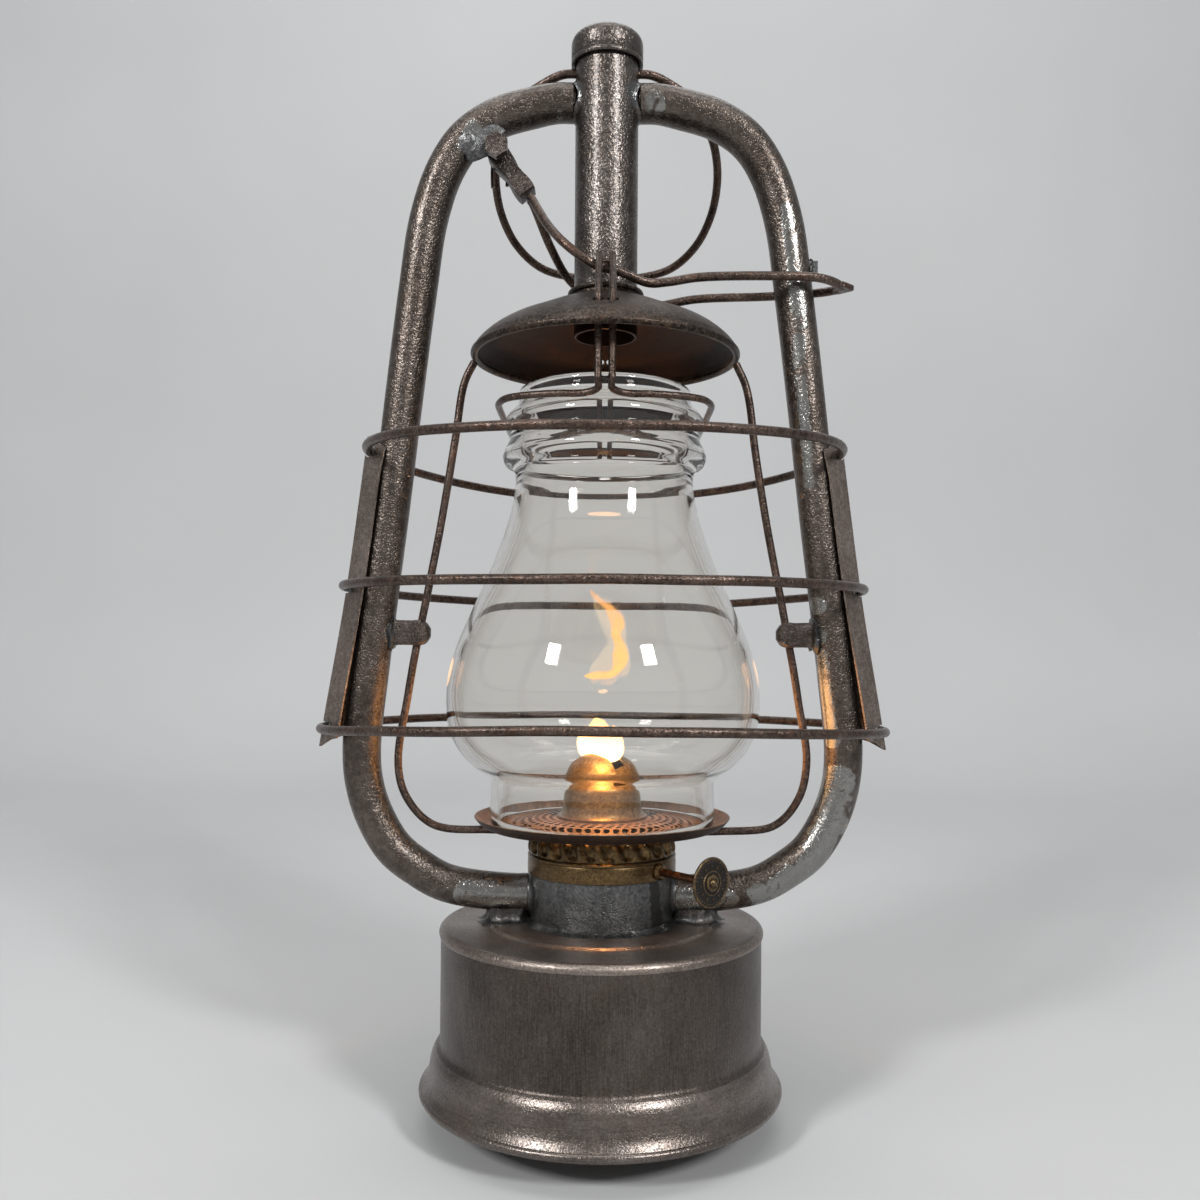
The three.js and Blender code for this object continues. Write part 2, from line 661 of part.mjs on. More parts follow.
/** Turns a round piece, modelled upright, onto the spindle's line. */
function onSpindle(geometry, along) {
  const turn = new THREE.Quaternion().setFromUnitVectors(new THREE.Vector3(0, 0, 1), alongSpindle);
  const place = burnerPoint(along, spindleOffset, spindleHeight);
  return outward(geometry.applyQuaternion(turn).translate(place.x, place.y, place.z));
}

/** The knob: a thin disc with a raised rim and a boss. */
function wickKnob() {
  const top = knobThickness;
  const floor = knobThickness - knobRecess;
  const hole = spindleRadius + seatGap / 2;
  return onSpindle(turnedShell([[hole, 0], [knobRadius - knobRimWidth / 2, 0],
    [knobRadius, knobThickness / 2],
    [knobRadius - knobRimWidth / 2, top], [knobRadius - knobRimWidth, floor],
    [knobBossRadius + knobRimWidth, floor],
    [knobBossRadius, top], [hole, top]], 2 * smallSegments), spindleReach);
}

/** The rivet head that holds the knob on the spindle's end. */
function knobRivet() {
  const start = spindleReach + knobThickness + seatGap;
  return onSpindle(turned([[0, 0], [knobRivetRadius, 0], [knobRivetRadius / 2, knobRivetRadius / 2],
    [0, (2 * knobRivetRadius) / 3]], 10), start);
}

/** The bush that the spindle turns in. */
function spindleGland() {
  const wall = Math.sqrt(burnerCapRadius ** 2 - spindleOffset ** 2);
  const inner = spindleRadius + seatGap / 2;
  const flange = glandRadius + burnerCapWall;
  const neckLine = burnerCapWall + seatGap;
  const inside = [[inner, -neckLine], [glandRadius, -neckLine], [glandRadius, seatGap], [flange, seatGap]];
  const outside = [[flange, glandLength / 2], [glandRadius, glandLength], [inner, glandLength]];
  return onSpindle(turnedShell([...inside, ...outside], 12), wall);
}

addPiece('burner_neck', burnerNeck(), solderedSteel);
addPiece('burner_cap', burnerCap(), agedBrass);
addPiece('burner_gallery', burnerGallery(), agedBrass);
addPiece('wick_tube', wickTube(), agedBrass);
addPiece('wick', wickBlock(wickWidth, wickThickness, wickBottomHeight, wickTopHeight), cotton);
addPiece('wick_spindle', spindleBar(spindleRadius, -spindleTail, spindleReach + knobThickness), agedBrass);
addPiece('feed_wheel_outer', feedWheel(1), agedBrass);
addPiece('feed_wheel_inner', feedWheel(-1), agedBrass);
addPiece('spindle_gland', spindleGland(), agedBrass);
addPiece('wick_knob', wickKnob(), agedBrass);
addPiece('knob_rivet', knobRivet(), agedBrass);

// Chimney

/** The chimney tube, open to both side tubes, with the two holes of the carry ring. */
function chimneyTube() {
  const inner = chimneyRadius - chimneyWall;
  const wall = turnedShell([[chimneyRadius, chimneyBottomHeight], [chimneyRadius, chimneyTopHeight],
    [inner, chimneyTopHeight], [inner, chimneyBottomHeight]], smallSegments);
  const length = 2 * (chimneyRadius + cutOverrun);
  const right = new THREE.Vector3(1, 0, 0);
  const from = new THREE.Vector3(-length / 2, 0, tubeTopHeight);
  const airPorts = bar(from, right, length, tubeRadius - tubeWall, 12);
  const ringFrom = new THREE.Vector3(-length / 2, 0, carryPivotHeight);
  const ringHoles = bar(ringFrom, right, length, carryWireRadius + slideGap, 12);
  return cut(wall, airPorts, ringHoles);
}

/** The domed cap over the chimney. */
function chimneyCap() {
  const shoulderHeight = capTopHeight - capCrown - capShoulderRadius;
  const shoulder = arc(capRadius - capShoulderRadius, shoulderHeight, capShoulderRadius, 0, 80, 4);
  const outside = [[capRadius, capBottomHeight], ...shoulder];
  const inside = beside(outside, capWall).reverse();
  return turned([[0, capTopHeight - capWall], ...inside, ...outside, [0, capTopHeight]], smallSegments);
}

addPiece('chimney_tube', chimneyTube(), agedSteel);
addPiece('chimney_cap', chimneyCap(), agedSteel);

// Carry ring

/** The wire ring that hangs in the chimney's two holes and leans back on the tubes. */
function carryRing() {
  const shares = [[0, 0], [0.2, 0], [0.35, 0], [0.43, 0.012], [0.55, 0.045], [0.68, 0.09], [0.79, 0.15],
    [0.89, 0.24], [0.97, 0.36], [1, 0.5], [0.965, 0.66], [0.84, 0.82], [0.62, 0.94], [0.33, 0.99]];
  const place = ([out, down]) => {
    const drop = carryDrop * down;
    const height = carryPivotHeight - drop * Math.cos(carryTilt);
    return [carryHalfWidth * out, drop * Math.sin(carryTilt), height];
  };
  const right = shares.map(place);
  const left = right.slice(1).map(([x, y, z]) => [-x, y, z]).reverse();
  return wireLoop([...right, place([0, 1]), ...left], carryWireRadius);
}

addPiece('carry_ring', carryRing(), rustyWire);

// Hood

/** The hood's outer surface from its rim up to the collar. */
function hoodOutline() {
  const shares = [[1, 0.06], [0.968, 0.16], [0.89, 0.33], [0.785, 0.49], [0.63, 0.65], [0.45, 0.84]];
  const line = shares.map(([out, up]) => [hoodRadius * out, hoodRimHeight + hoodRise * up]);
  return [...line, [chimneyRadius + slideGap + collarWall + seatGap, hoodRimHeight + hoodRise]];
}

/** The domed hood over the globe, with its rolled rim and the holes of the globe's retainer. */
function hood() {
  const outside = hoodOutline();
  const inside = beside(outside, hoodWall).reverse();
  const beadCentre = hoodRadius - hoodRimBeadRadius / 2;
  const bead = arc(beadCentre, hoodRimHeight, hoodRimBeadRadius, 170, 385, 6);
  const body = turnedShell([...bead, ...outside, ...inside]);
  const up = new THREE.Vector3(0, 0, 1);
  const holes = [];
  for (const side of [-1, 1]) {
    for (const face of [-1, 1]) {
      const from = new THREE.Vector3(side * hairpinHalfWidth, face * hairpinReach, hoodRimHeight);
      holes.push(bar(from, up, hoodRise, retainerHoleRadius, 10));
    }
  }
  return cut(body, ...holes);
}

/** The collar that slides on the chimney. */
function hoodCollar() {
  const inner = chimneyRadius + slideGap;
  const outer = inner + collarWall;
  const bead = arc(outer, collarTopHeight - collarBeadRadius, collarBeadRadius, -90, 90, 4);
  return turnedShell([[inner, collarBottomHeight],
    [outer, collarBottomHeight], ...bead, [inner, collarTopHeight]], 24);
}

addPiece('hood', hood(), agedSteel);
addPiece('hood_collar', hoodCollar(), agedSteel);

// Globe plate, burner cone and cage wires

/** The pierced plate that carries the globe: a raised disc, a seat round it and a flared rim. */
function globePlate() {
  const line = [[plateRimRadius, plateSeatHeight + plateRimRise], [plateSeatRadius, plateSeatHeight],
    [plateSeatRadius - plateSeatWidth, plateSeatHeight], [plateDiscRadius, plateTopHeight],
    [plateHoleRadius, plateTopHeight]];
  return cut(turnedSheet(line, plateThickness), ...ventHoles());
}

/** The rods that punch the plate's air holes. */
function ventHoles() {
  const up = new THREE.Vector3(0, 0, 1);
  const from = plateSeatHeight - cutOverrun;
  return ventRingRadii.flatMap((radius, ring) => Array.from({ length: ventCounts[ring] }, (_, i) => {
    const angle = (2 * Math.PI * i) / ventCounts[ring];
    const foot = new THREE.Vector3(radius * Math.cos(angle), radius * Math.sin(angle), from);
    return bar(foot, up, plateDip + 2 * cutOverrun, ventRadius, 6);
  }));
}

/** The brass cone that draws air past the flame, slotted along the wick. */
function burnerCone() {
  const rise = coneTopHeight - coneShoulderHeight;
  const foot = plateTopHeight + seatGap;
  const dome = [0, 0.28, 0.52, 0.75, 0.93].map((share) => {
    const angle = (share * Math.PI) / 2;
    return [coneShoulderRadius * Math.cos(angle), coneShoulderHeight + rise * Math.sin(angle)];
  });
  const outside = [[coneFlangeRadius, foot + coneWall], [coneFootRadius, foot + coneWall], ...dome];
  const inside = [[coneFlangeRadius, foot], [coneFootRadius - coneWall, foot], ...beside(dome, coneWall)];
  const skin = [[0, coneTopHeight - coneWall], ...inside.reverse(), ...outside, [0, coneTopHeight]];
  const shell = turned(skin, 24);
  const slotFoot = coneShoulderHeight + coneWall;
  const slot = wickBlock(coneSlotLength, coneSlotWidth, slotFoot, coneTopHeight + cutOverrun);
  return cut(shell, slot);
}

/** The right wire of the cage, from under the hood's rim to the underside of the plate. */
function cageWire() {
  const shoulder = [hoodRadius + cageShoulderOverhang, 0, hoodRimHeight - cageShoulderDrop];
  const waist = [hoodRadius + cageWaistOverhang, 0, plateTopHeight + cageWaistRise];
  const under = plateSeatHeight - plateThickness - seatGap - cageWireRadius;
  return rod([
    [hoodRadius - cageTopInset, 0, hoodRimHeight - hoodRimBeadRadius - seatGap],
    shoulder,
    shoulder.map((place, axis) => (place + waist[axis]) / 2),
    waist,
    [globeRadius + cageLowSpread, 0, plateTopHeight + cageLowRise],
    [globeRadius + cageWideSpread, 0, plateTopHeight + cageWideRise],
    [globeRadius + cageBendSpread, 0, plateTopHeight + cageBendRise],
    [globeRadius + cageHeelSpread, 0, plateTopHeight - cageHeelDrop],
    [plateSeatRadius, 0, under],
    [plateRimRadius - cageEndInset, 0, under],
  ], cageWireRadius);
}

const rightCageWire = cageWire();
addPiece('globe_plate', globePlate(), rustyPlate);
addPiece('burner_cone', burnerCone(), agedBrass);
addPiece('cage_wire_right', rightCageWire, rustyWire);
addPiece('cage_wire_left', mirrored(rightCageWire), rustyWire);

/** The right guide eye, which the cage wire slides in. */
function guideEye() {
  const inner = eyeInnerReach + cageWireRadius + slideGap;
  const halfGap = cageWireRadius + slideGap;
  const half = halfGap + eyeWall;
  const outline = new THREE.Shape().absarc(inner, 0, half, Math.PI / 2, 1.5 * Math.PI);
  outline.lineTo(tubeWideReach, -half).lineTo(tubeWideReach, half).closePath();
  const slot = new THREE.Path().absarc(inner, 0, halfGap, 1.5 * Math.PI, Math.PI / 2, true);
  slot.lineTo(eyeOuterReach, halfGap).lineTo(eyeOuterReach, -halfGap).closePath();
  outline.holes.push(slot);
  const settings = { depth: eyeTall, curveSegments: 8, bevelEnabled: false };
  const strap = weld(new THREE.ExtrudeGeometry(outline, settings).translate(0, 0, eyeHeight - eyeTall / 2));
  const beyond = block(2 * tubeRadius, 4 * half, 2 * eyeTall, eyeOuterReach + 3 * tubeRadius, 0, eyeHeight);
  return cut(strap, sideTubeSeat(), beyond);
}

const rightEye = guideEye();
addPiece('guide_eye_right', rightEye, solderedSteel);
addPiece('guide_eye_left', mirrored(rightEye), solderedSteel);

// Globe

/** The glass globe: bulged body, beaded neck and a plain rim. */
function globe() {
  const bodyShares = [[globeFootShare, 0], [globeFootShare, 0.106], [0.836, 0.137], [0.924, 0.173],
    [0.981, 0.219], [1, 0.288], [0.985, 0.344], [0.943, 0.401], [0.881, 0.458], [0.722, 0.586],
    [0.609, 0.702], [0.573, 0.764]];
  const neckShares = [[0.573, 0.803], [0.635, 0.826], [0.652, 0.844], [0.635, 0.862], [0.609, 0.887],
    [0.641, 0.92], [0.6, 0.947], [0.55, 0.979], [0.55, 1]];
  const foot = plateSeatHeight + seatGap;
  const place = ([out, up]) => [globeRadius * out, foot + globeHeight * up];
  const body = bodyShares.map(place);
  const neckInner = neckShares[neckShares.length - 1][0] * globeRadius - globeWall;
  const inside = beside(body, globeWall).reverse();
  return turnedShell([...body, ...neckShares.map(place), [neckInner, globeTopHeight], ...inside], 32);
}

addPiece('globe', globe(), glass);

/** One quarter of the retainer's line, from the middle of its right side to the tip of its front hook. */
function retainerQuarter() {
  const ovalShares = [[1, 0], [1, 0.2], [0.985, 0.5], [0.89, 0.74], [0.7, 0.87], [0.42, 0.955],
    [0.18, 0.99]];
  const height = globeTopHeight - retainerDrop;
  const place = ([out, front]) => [retainerHalfWidth * out, -retainerHalfDepth * front, height];
  const oval = ovalShares.map(place);
  const foot = height + 3 * retainerWireRadius;
  const hook = hairpinTipReach + 2 * retainerWireRadius;
  return [...oval,
    [hairpinHalfWidth, -(retainerHalfDepth + hairpinReach) / 2, height + retainerWireRadius],
    [hairpinHalfWidth, -hairpinReach, foot],
    [hairpinHalfWidth, -hairpinReach, foot + 2 * retainerWireRadius],
    [hairpinHalfWidth, -hairpinReach, hairpinBendHeight - 4 * retainerWireRadius],
    [hairpinHalfWidth, -hairpinReach, hairpinBendHeight - 2 * retainerWireRadius],
    [hairpinHalfWidth, -hairpinReach + retainerWireRadius, hairpinBendHeight],
    [hairpinHalfWidth, -hook - 2 * retainerWireRadius, hairpinTopHeight - retainerWireRadius],
    [hairpinHalfWidth, -hook, hairpinTopHeight],
    [hairpinHalfWidth * 0.9, -hairpinTipReach - retainerWireRadius / 2,
    hairpinTopHeight - hairpinTipDrop / 2],
    [hairpinHalfWidth / 2, -hairpinTipReach, hairpinTopHeight - hairpinTipDrop]];
}

/** The wire that holds the globe down: an oval round its neck with a hairpin in front and one behind. */
function globeRetainer() {
  const front = retainerQuarter();
  const left = front.map(([x, y, z]) => [-x, y, z]).reverse();
  const half = [...front, ...left.slice(0, -1)];
  const back = half.map(([x, y, z]) => [-x, -y, z]);
  return wireLoop([...half, ...back], retainerWireRadius);
}

addPiece('globe_retainer', globeRetainer(), rustyWire);

// Lift lever

const leverPivot = new THREE.Vector3(-leverPivotReach, 0, leverPivotHeight);
const toViewer = new THREE.Vector3(0, -1, 0);
const ferruleRun = new THREE.Vector3(Math.cos(ferruleSlope), 0, -Math.sin(ferruleSlope));

/** A flat strap in the XZ plane from a shape round the pivot, between two distances towards the viewer. */
function pivotStrap(shape, back, front) {
  const settings = { depth: front - back, curveSegments: 10, bevelEnabled: false };
  const geometry = new THREE.ExtrudeGeometry(shape, settings).rotateX(Math.PI / 2);
  return weld(geometry.translate(leverPivot.x, -back, leverPivot.z));
}

/** The lug under the left arch that carries the lever's bolt. */
function leverLug() {
  const half = leverLugWidth / 2;
  const shape = new THREE.Shape().absarc(0, 0, half, Math.PI, 2 * Math.PI);
  shape.lineTo(half, leverLugRise).lineTo(-half, leverLugRise).closePath();
  shape.holes.push(new THREE.Path().absarc(0, 0, leverBoltRadius + seatGap, 0, 2 * Math.PI, true));
  return cut(pivotStrap(shape, leverLugFront - leverLugThickness, leverLugFront), mirrored(sideTubeSeat()));
}

/** The bolt that the lever turns on, with its hexagon head in front. */
function leverBolt() {
  const headBack = leverLugFront + seatGap;
  const back = ferruleThickness / 2 + seatGap + 3 * splitPinRadius;
  const tail = leverPivot.clone().addScaledVector(toViewer, -back);
  const shankLength = back + headBack + leverBoltHeadLength / 2;
  const shank = bar(tail, toViewer, shankLength, leverBoltRadius, 12);
  const headFoot = leverPivot.clone().addScaledVector(toViewer, headBack);
  const head = bar(headFoot, toViewer, leverBoltHeadLength, leverBoltHeadRadius, 6);
  return join(shank, head);
}

/** The split pin over the bolt's end, its two tails hanging down. */
function leverSplitPin() {
  const back = ferruleThickness / 2 + seatGap + splitPinRadius;
  const loop = leverBoltRadius + seatGap + splitPinRadius;
  const tail = leverPivotHeight - splitPinLength;
  return rod([
    [-leverPivotReach - loop, back, tail],
    [-leverPivotReach - loop, back, leverPivotHeight],
    [-leverPivotReach - loop * Math.SQRT1_2, back, leverPivotHeight + loop * Math.SQRT1_2],
    [-leverPivotReach, back, leverPivotHeight + loop],
    [-leverPivotReach + loop * Math.SQRT1_2, back, leverPivotHeight + loop * Math.SQRT1_2],
    [-leverPivotReach + loop, back, leverPivotHeight],
    [-leverPivotReach + loop, back, tail + splitPinRadius],
  ], splitPinRadius);
}

/** The flat ferrule that joins the lever's two wires to its bolt. */
function leverFerrule() {
  const half = ferruleWidth / 2;
  const shape = new THREE.Shape().absarc(0, 0, half, Math.PI / 2, 1.5 * Math.PI);
  shape.lineTo(ferruleLength, -half).lineTo(ferruleLength, half).closePath();
  shape.holes.push(new THREE.Path().absarc(0, 0, leverBoltRadius + slideGap, 0, 2 * Math.PI, true));
  const settings = { depth: ferruleThickness, curveSegments: 12, bevelEnabled: false };
  const geometry = new THREE.ExtrudeGeometry(shape, settings).translate(0, 0, -ferruleThickness / 2);
  geometry.rotateX(Math.PI / 2).rotateY(ferruleSlope).translate(leverPivot.x, 0, leverPivot.z);
  return weld(geometry);
}

/** The lever's wire: out along the front of the hood, round the right tube and back behind. */
function liftLever() {
  const start = leverPivot.clone().addScaledVector(ferruleRun, ferruleLength + 2 * seatGap);
  const shares = [[0.062, 0.55, 0.612], [0.117, 0.93, 0.352], [0.167, 1, 0.214], [0.215, 0.97, 0.13],
    [0.288, 0.88, 0.082], [0.378, 0.725, 0], [0.439, 0.68, 0.019], [0.538, 0.64, 0.075],
    [0.778, 0.59, 0.103], [0.902, 0.48, 0.112], [0.968, 0.27, 0.103]];
  const noseShares = [1, 0, 0.093];
  const place = ([along, gap, up]) => {
    const reach = THREE.MathUtils.lerp(start.x, leverNoseReach, along);
    return [reach, -leverHalfGap * gap, THREE.MathUtils.lerp(leverKinkHeight, start.z, up)];
  };
  const leave = start.clone().addScaledVector(ferruleRun, leverWireRadius);
  const ends = [[start.x, -leverWireSpread, start.z], [leave.x, -leverWireSpread, leave.z]];
  const front = [...ends, ...shares.map(place)];
  const rear = front.map(([x, y, z]) => [x, -y, z]).reverse();
  const nose = place(noseShares);
  return join(rod([...front, nose, ...rear], leverWireRadius), leverTip(nose));
}

/** The flat point beyond the lever's closed end. */
function leverTip([noseX, , noseZ]) {
  const shape = new THREE.Shape();
  const back = noseX - leverWireRadius;
  const shoulder = noseX + leverWireRadius;
  shape.moveTo(back, -leverTipHalfWidth).lineTo(shoulder, -leverTipHalfWidth / 2);
  shape.lineTo(noseX + leverTipLength, 0).lineTo(shoulder, leverTipHalfWidth / 2);
  shape.lineTo(back, leverTipHalfWidth).closePath();
  const settings = { depth: leverTipThickness, bevelEnabled: false };
  return weld(new THREE.ExtrudeGeometry(shape, settings).translate(0, 0, noseZ - leverTipThickness / 2));
}

/** The catch on the right tube that keeps the lever up. */
function leverCatch() {
  const inner = catchReach - tubeRadius;
  const width = catchReach - inner;
  return cut(block(width, catchWidth, catchTall, inner + width / 2, 0, catchHeight), sideTubeSeat());
}

addPiece('lever_lug', leverLug(), solderedSteel);
addPiece('lever_bolt', leverBolt(), agedSteel);
addPiece('lever_split_pin', leverSplitPin(), rustyWire);
addPiece('lever_ferrule', leverFerrule(), agedSteel);
addPiece('lift_lever', liftLever(), rustyWire);
addPiece('lever_catch', leverCatch(), solderedSteel);

// Guards

/** A guard ring's wire, or a fatter one to notch what it passes through. */
function guardRing(level, radius) {
  const count = 18;
  const reach = tubeWideReach + guardSpreads[level];
  const points = [];
  for (let i = 0; i < count; i += 1) {
    const angle = (2 * Math.PI * i) / count;
    const bow = (Math.sin(angle) < 0 ? guardFrontBows[level] : guardBackBows[level]) * Math.sin(angle) ** 2;
    points.push([reach * Math.cos(angle), guardHalfDepth * Math.sin(angle),
      plateTopHeight + guardRises[level] + bow]);
  }
  return wireLoop(points, radius);
}

/** The right guard strip: an angle with its corner outwards, pointed and notched for the rings. */
function guardStrip() {
  const corners = [[stripBottomSpread, stripBottomRise], [stripLowSpread, stripLowRise],
    [stripMiddleSpread, stripMiddleRise], [stripTopSpread, stripTopRise]];
  const flange = stripFlange * Math.SQRT1_2;
  const inset = stripThickness * Math.SQRT2;
  const edge = stripThickness * Math.SQRT1_2;
  const last = corners.length - 1;
  const positions = [];
  corners.forEach(([spread, rise], i) => {
    const x = tubeWideReach + spread;
    const z = plateTopHeight + rise;
    const end = z + (i === 0 ? stripPoint : 0) - (i === last ? stripPoint : 0);
    positions.push(x, 0, z, x - flange, -flange, end, x - flange - edge, -flange + edge, end);
    positions.push(x - inset, 0, z, x - flange - edge, flange - edge, end, x - flange, flange, end);
  });
  const faces = [];
  const ring = 6;
  for (let i = 0; i < last; i += 1) {
    for (let j = 0; j < ring; j += 1) {
      const a = i * ring + j;
      const b = i * ring + ((j + 1) % ring);
      faces.push(a, b, b + ring, a, b + ring, a + ring);
    }
  }
  const top = last * ring;
  faces.push(0, 2, 1, 0, 3, 2, 0, 4, 3, 0, 5, 4);
  faces.push(top, top + 1, top + 2, top, top + 2, top + 3, top, top + 3, top + 4, top, top + 4, top + 5);
  const geometry = new THREE.BufferGeometry();
  geometry.setAttribute('position', new THREE.BufferAttribute(new Float32Array(positions), 3));
  geometry.setIndex(faces);
  const rings = Object.keys(guardRises).map((level) => guardRing(level, guardWireRadius + seatGap));
  return cut(outward(geometry), ...rings);
}

const rightStrip = guardStrip();
addPiece('guard_strip_right', rightStrip, agedSteel);
addPiece('guard_strip_left', mirrored(rightStrip), agedSteel);
addPiece('guard_ring_lower', guardRing('lower', guardWireRadius), rustyWire);
addPiece('guard_ring_middle', guardRing('middle', guardWireRadius), rustyWire);
addPiece('guard_ring_upper', guardRing('upper', guardWireRadius), rustyWire);

export default lantern;
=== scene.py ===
"""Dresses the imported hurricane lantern: sheet metal, wires, brass burner, glass globe, wick and flame.

Sizes in the classes are in millimetres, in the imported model's frame: +Z up, -Y towards the viewer.
"""

from __future__ import annotations

import logging
import math
from dataclasses import dataclass, field
from enum import Enum
from typing import Callable, Sequence

import bmesh
import bpy
from mathutils import Matrix, Vector, noise


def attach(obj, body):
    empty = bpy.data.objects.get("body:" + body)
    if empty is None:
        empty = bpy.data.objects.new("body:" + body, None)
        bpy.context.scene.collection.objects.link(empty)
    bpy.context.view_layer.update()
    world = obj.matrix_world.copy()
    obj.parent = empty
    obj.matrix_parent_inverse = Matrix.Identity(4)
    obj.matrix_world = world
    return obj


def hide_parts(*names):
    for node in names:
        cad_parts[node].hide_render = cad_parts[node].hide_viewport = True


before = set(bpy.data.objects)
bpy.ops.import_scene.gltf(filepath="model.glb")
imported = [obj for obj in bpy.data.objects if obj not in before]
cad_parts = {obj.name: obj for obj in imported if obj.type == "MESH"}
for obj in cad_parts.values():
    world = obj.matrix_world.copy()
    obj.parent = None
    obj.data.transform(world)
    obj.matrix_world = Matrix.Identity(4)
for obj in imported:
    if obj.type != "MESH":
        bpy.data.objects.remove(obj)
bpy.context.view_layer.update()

LOG = logging.getLogger("lantern")
MM = 0.001
TAU = 2 * math.pi
QUARTER_TURN = math.pi / 2
SHARP_FROM = 38.0
BEVEL_FROM = 40.0
PHOTO_SIDE = 1200
WICK_AZIMUTH = math.radians(41.5)
WANDER_SEED = 10
HANDS = ((1, "right"), (-1, "left"))
MIRROR = Matrix.Diagonal((-1, 1, 1, 1))
X_AXIS = Vector((1, 0, 0))
Y_AXIS = Vector((0, 1, 0))
Z_AXIS = Vector((0, 0, 1))
Point2 = tuple[float, float]
Point3 = tuple[float, float, float]
Colour = tuple[float, float, float]
Spot = tuple[float, float, float, float]


class Body(Enum):
    """The moving bodies of the lantern."""

    FRAME = "frame"
    CAGE = "cage"
    RETAINER = "retainer"
    LEVER = "lever"
    CARRY_RING = "carry_ring"
    SPINDLE = "spindle"


class Slot(Enum):
    """The finishes named in the record."""

    STEEL = "aged_steel"
    SOLDER = "soldered_steel"
    WIRE = "rusty_wire"
    BRASS = "aged_brass"
    PLATE = "rusty_plate"
    GLASS = "clear_glass"
    COTTON = "wick_cotton"


class Grain(Enum):
    """Which way the fine lines of a finish run."""

    NONE = "none"
    UPRIGHT = "upright"
    ROUND = "round"


# Meshes


@dataclass
class Shell:
    """Vertices in millimetres and the faces that join them."""

    points: list[Vector] = field(default_factory=list)
    faces: list[tuple[int, ...]] = field(default_factory=list)

    def add(self, other: Shell) -> Shell:
        """Takes in another shell's points and faces.

        Args:
            other: the shell to take in.

        Returns:
            This shell.
        """
        start = len(self.points)
        self.points.extend(point.copy() for point in other.points)
        self.faces.extend(tuple(start + corner for corner in face) for face in other.faces)
        return self

    def moved(self, matrix: Matrix) -> Shell:
        """Places a copy, with its faces turned over if the matrix mirrors.

        Args:
            matrix: where the copy goes.

        Returns:
            The placed copy.
        """
        flip = matrix.determinant() < 0
        faces = [tuple(reversed(face)) if flip else face for face in self.faces]
        return Shell([matrix @ point for point in self.points], faces)

    def on_hand(self, side: int) -> Shell:
        """The shell itself for the right side, 1, or its mirror image for the left side, -1."""
        return self if side > 0 else self.moved(MIRROR)

    def bent(self, rule: Callable[[Vector], Vector]) -> Shell:
        """A copy with every point put through a rule."""
        return Shell([rule(point) for point in self.points], list(self.faces))

    def join_rings(self, rings: int, count: int, closed: bool = False) -> None:
        """Joins rings of points that follow one another.

        Args:
            rings: how many rings there are.
            count: how many points each has.
            closed: whether the last ring joins the first.
        """
        for ring in range(rings if closed else rings - 1):
            after = (ring + 1) % rings
            for k in range(count):
                n = (k + 1) % count
                self.faces.append((ring * count + k, ring * count + n, after * count + n, after * count + k))

    def close_ends(self, rings: int, count: int) -> None:
        """Closes the first and the last ring of points, each with one face."""
        self.faces.append(tuple(reversed(range(count))))
        self.faces.append(tuple((rings - 1) * count + k for k in range(count)))

    def join_columns(self, columns: int, rows: int, closed: bool = False) -> None:
        """Joins columns of points that stand in a circle.

        Args:
            columns: how many columns there are.
            rows: how many points each has.
            closed: whether a column's last point joins its first.
        """
        for column in range(columns):
            here, there = column * rows, (column + 1) % columns * rows
            for row in range(rows if closed else rows - 1):
                after = (row + 1) % rows
                self.faces.append((here + row, there + row, there + after, here + after))

    def to_object(self, name: str, crease: float = SHARP_FROM) -> bpy.types.Object:
        """Makes a shaded object of the shell.

        Args:
            name: the object's name.
            crease: the angle in degrees past which an edge stays sharp.

        Returns:
            The new object, in metres.
        """
        mesh = bpy.data.meshes.new(name)
        mesh.from_pydata([point * MM for point in self.points], [], self.faces)
        tidy_up = bmesh.new()
        tidy_up.from_mesh(mesh)
        bmesh.ops.remove_doubles(tidy_up, verts=tidy_up.verts, dist=0.002 * MM)
        bmesh.ops.recalc_face_normals(tidy_up, faces=tidy_up.faces)
        tidy_up.to_mesh(mesh)
        tidy_up.free()
        mesh.polygons.foreach_set("use_smooth", [True] * len(mesh.polygons))
        mesh.set_sharp_from_angle(angle=math.radians(crease))
        made = bpy.data.objects.new(name, mesh)
        bpy.context.collection.objects.link(made)
        return made


def flowing(points: Sequence[Sequence[float]], steps: int = 6, closed: bool = False) -> list[Vector]:
    """Draws a smooth line through points, which bunches where the points bunch.

    Args:
        points: the points to pass through.
        steps: how many pieces each stretch between two points has.
        closed: whether the line comes back to its start.

    Returns:
        The line's points.
    """
    knots = [Vector(point) for point in points]
    count = len(knots)
    line: list[Vector] = []
    for i in range(count if closed else count - 1):
        p1, p2 = knots[i], knots[(i + 1) % count]
        p0 = knots[i - 1] if closed or i > 0 else 2 * p1 - p2
        p3 = knots[(i + 2) % count] if closed or i < count - 2 else 2 * p2 - p1
        d0, d1, d2 = (max(math.sqrt((b - a).length), 1e-6) for a, b in ((p0, p1), (p1, p2), (p2, p3)))
        start = ((p1 - p0) / d0 - (p2 - p0) / (d0 + d1) + (p2 - p1) / d1) * d1
        end = ((p2 - p1) / d1 - (p3 - p1) / (d1 + d2) + (p3 - p2) / d2) * d1
        for step in range(steps):
            t = step / steps
            line.append(p1 + start * t + (3 * (p2 - p1) - 2 * start - end) * t**2
                        + (2 * (p1 - p2) + start + end) * t**3)
    if not closed:
        line.append(knots[-1].copy())
    return line


def flowing_profile(pairs: Sequence[Point2], steps: int) -> list[Point2]:
    """A smooth profile through radius and height pairs."""
    return [(point.x, point.y) for point in flowing([(*pair, 0) for pair in pairs], steps)]


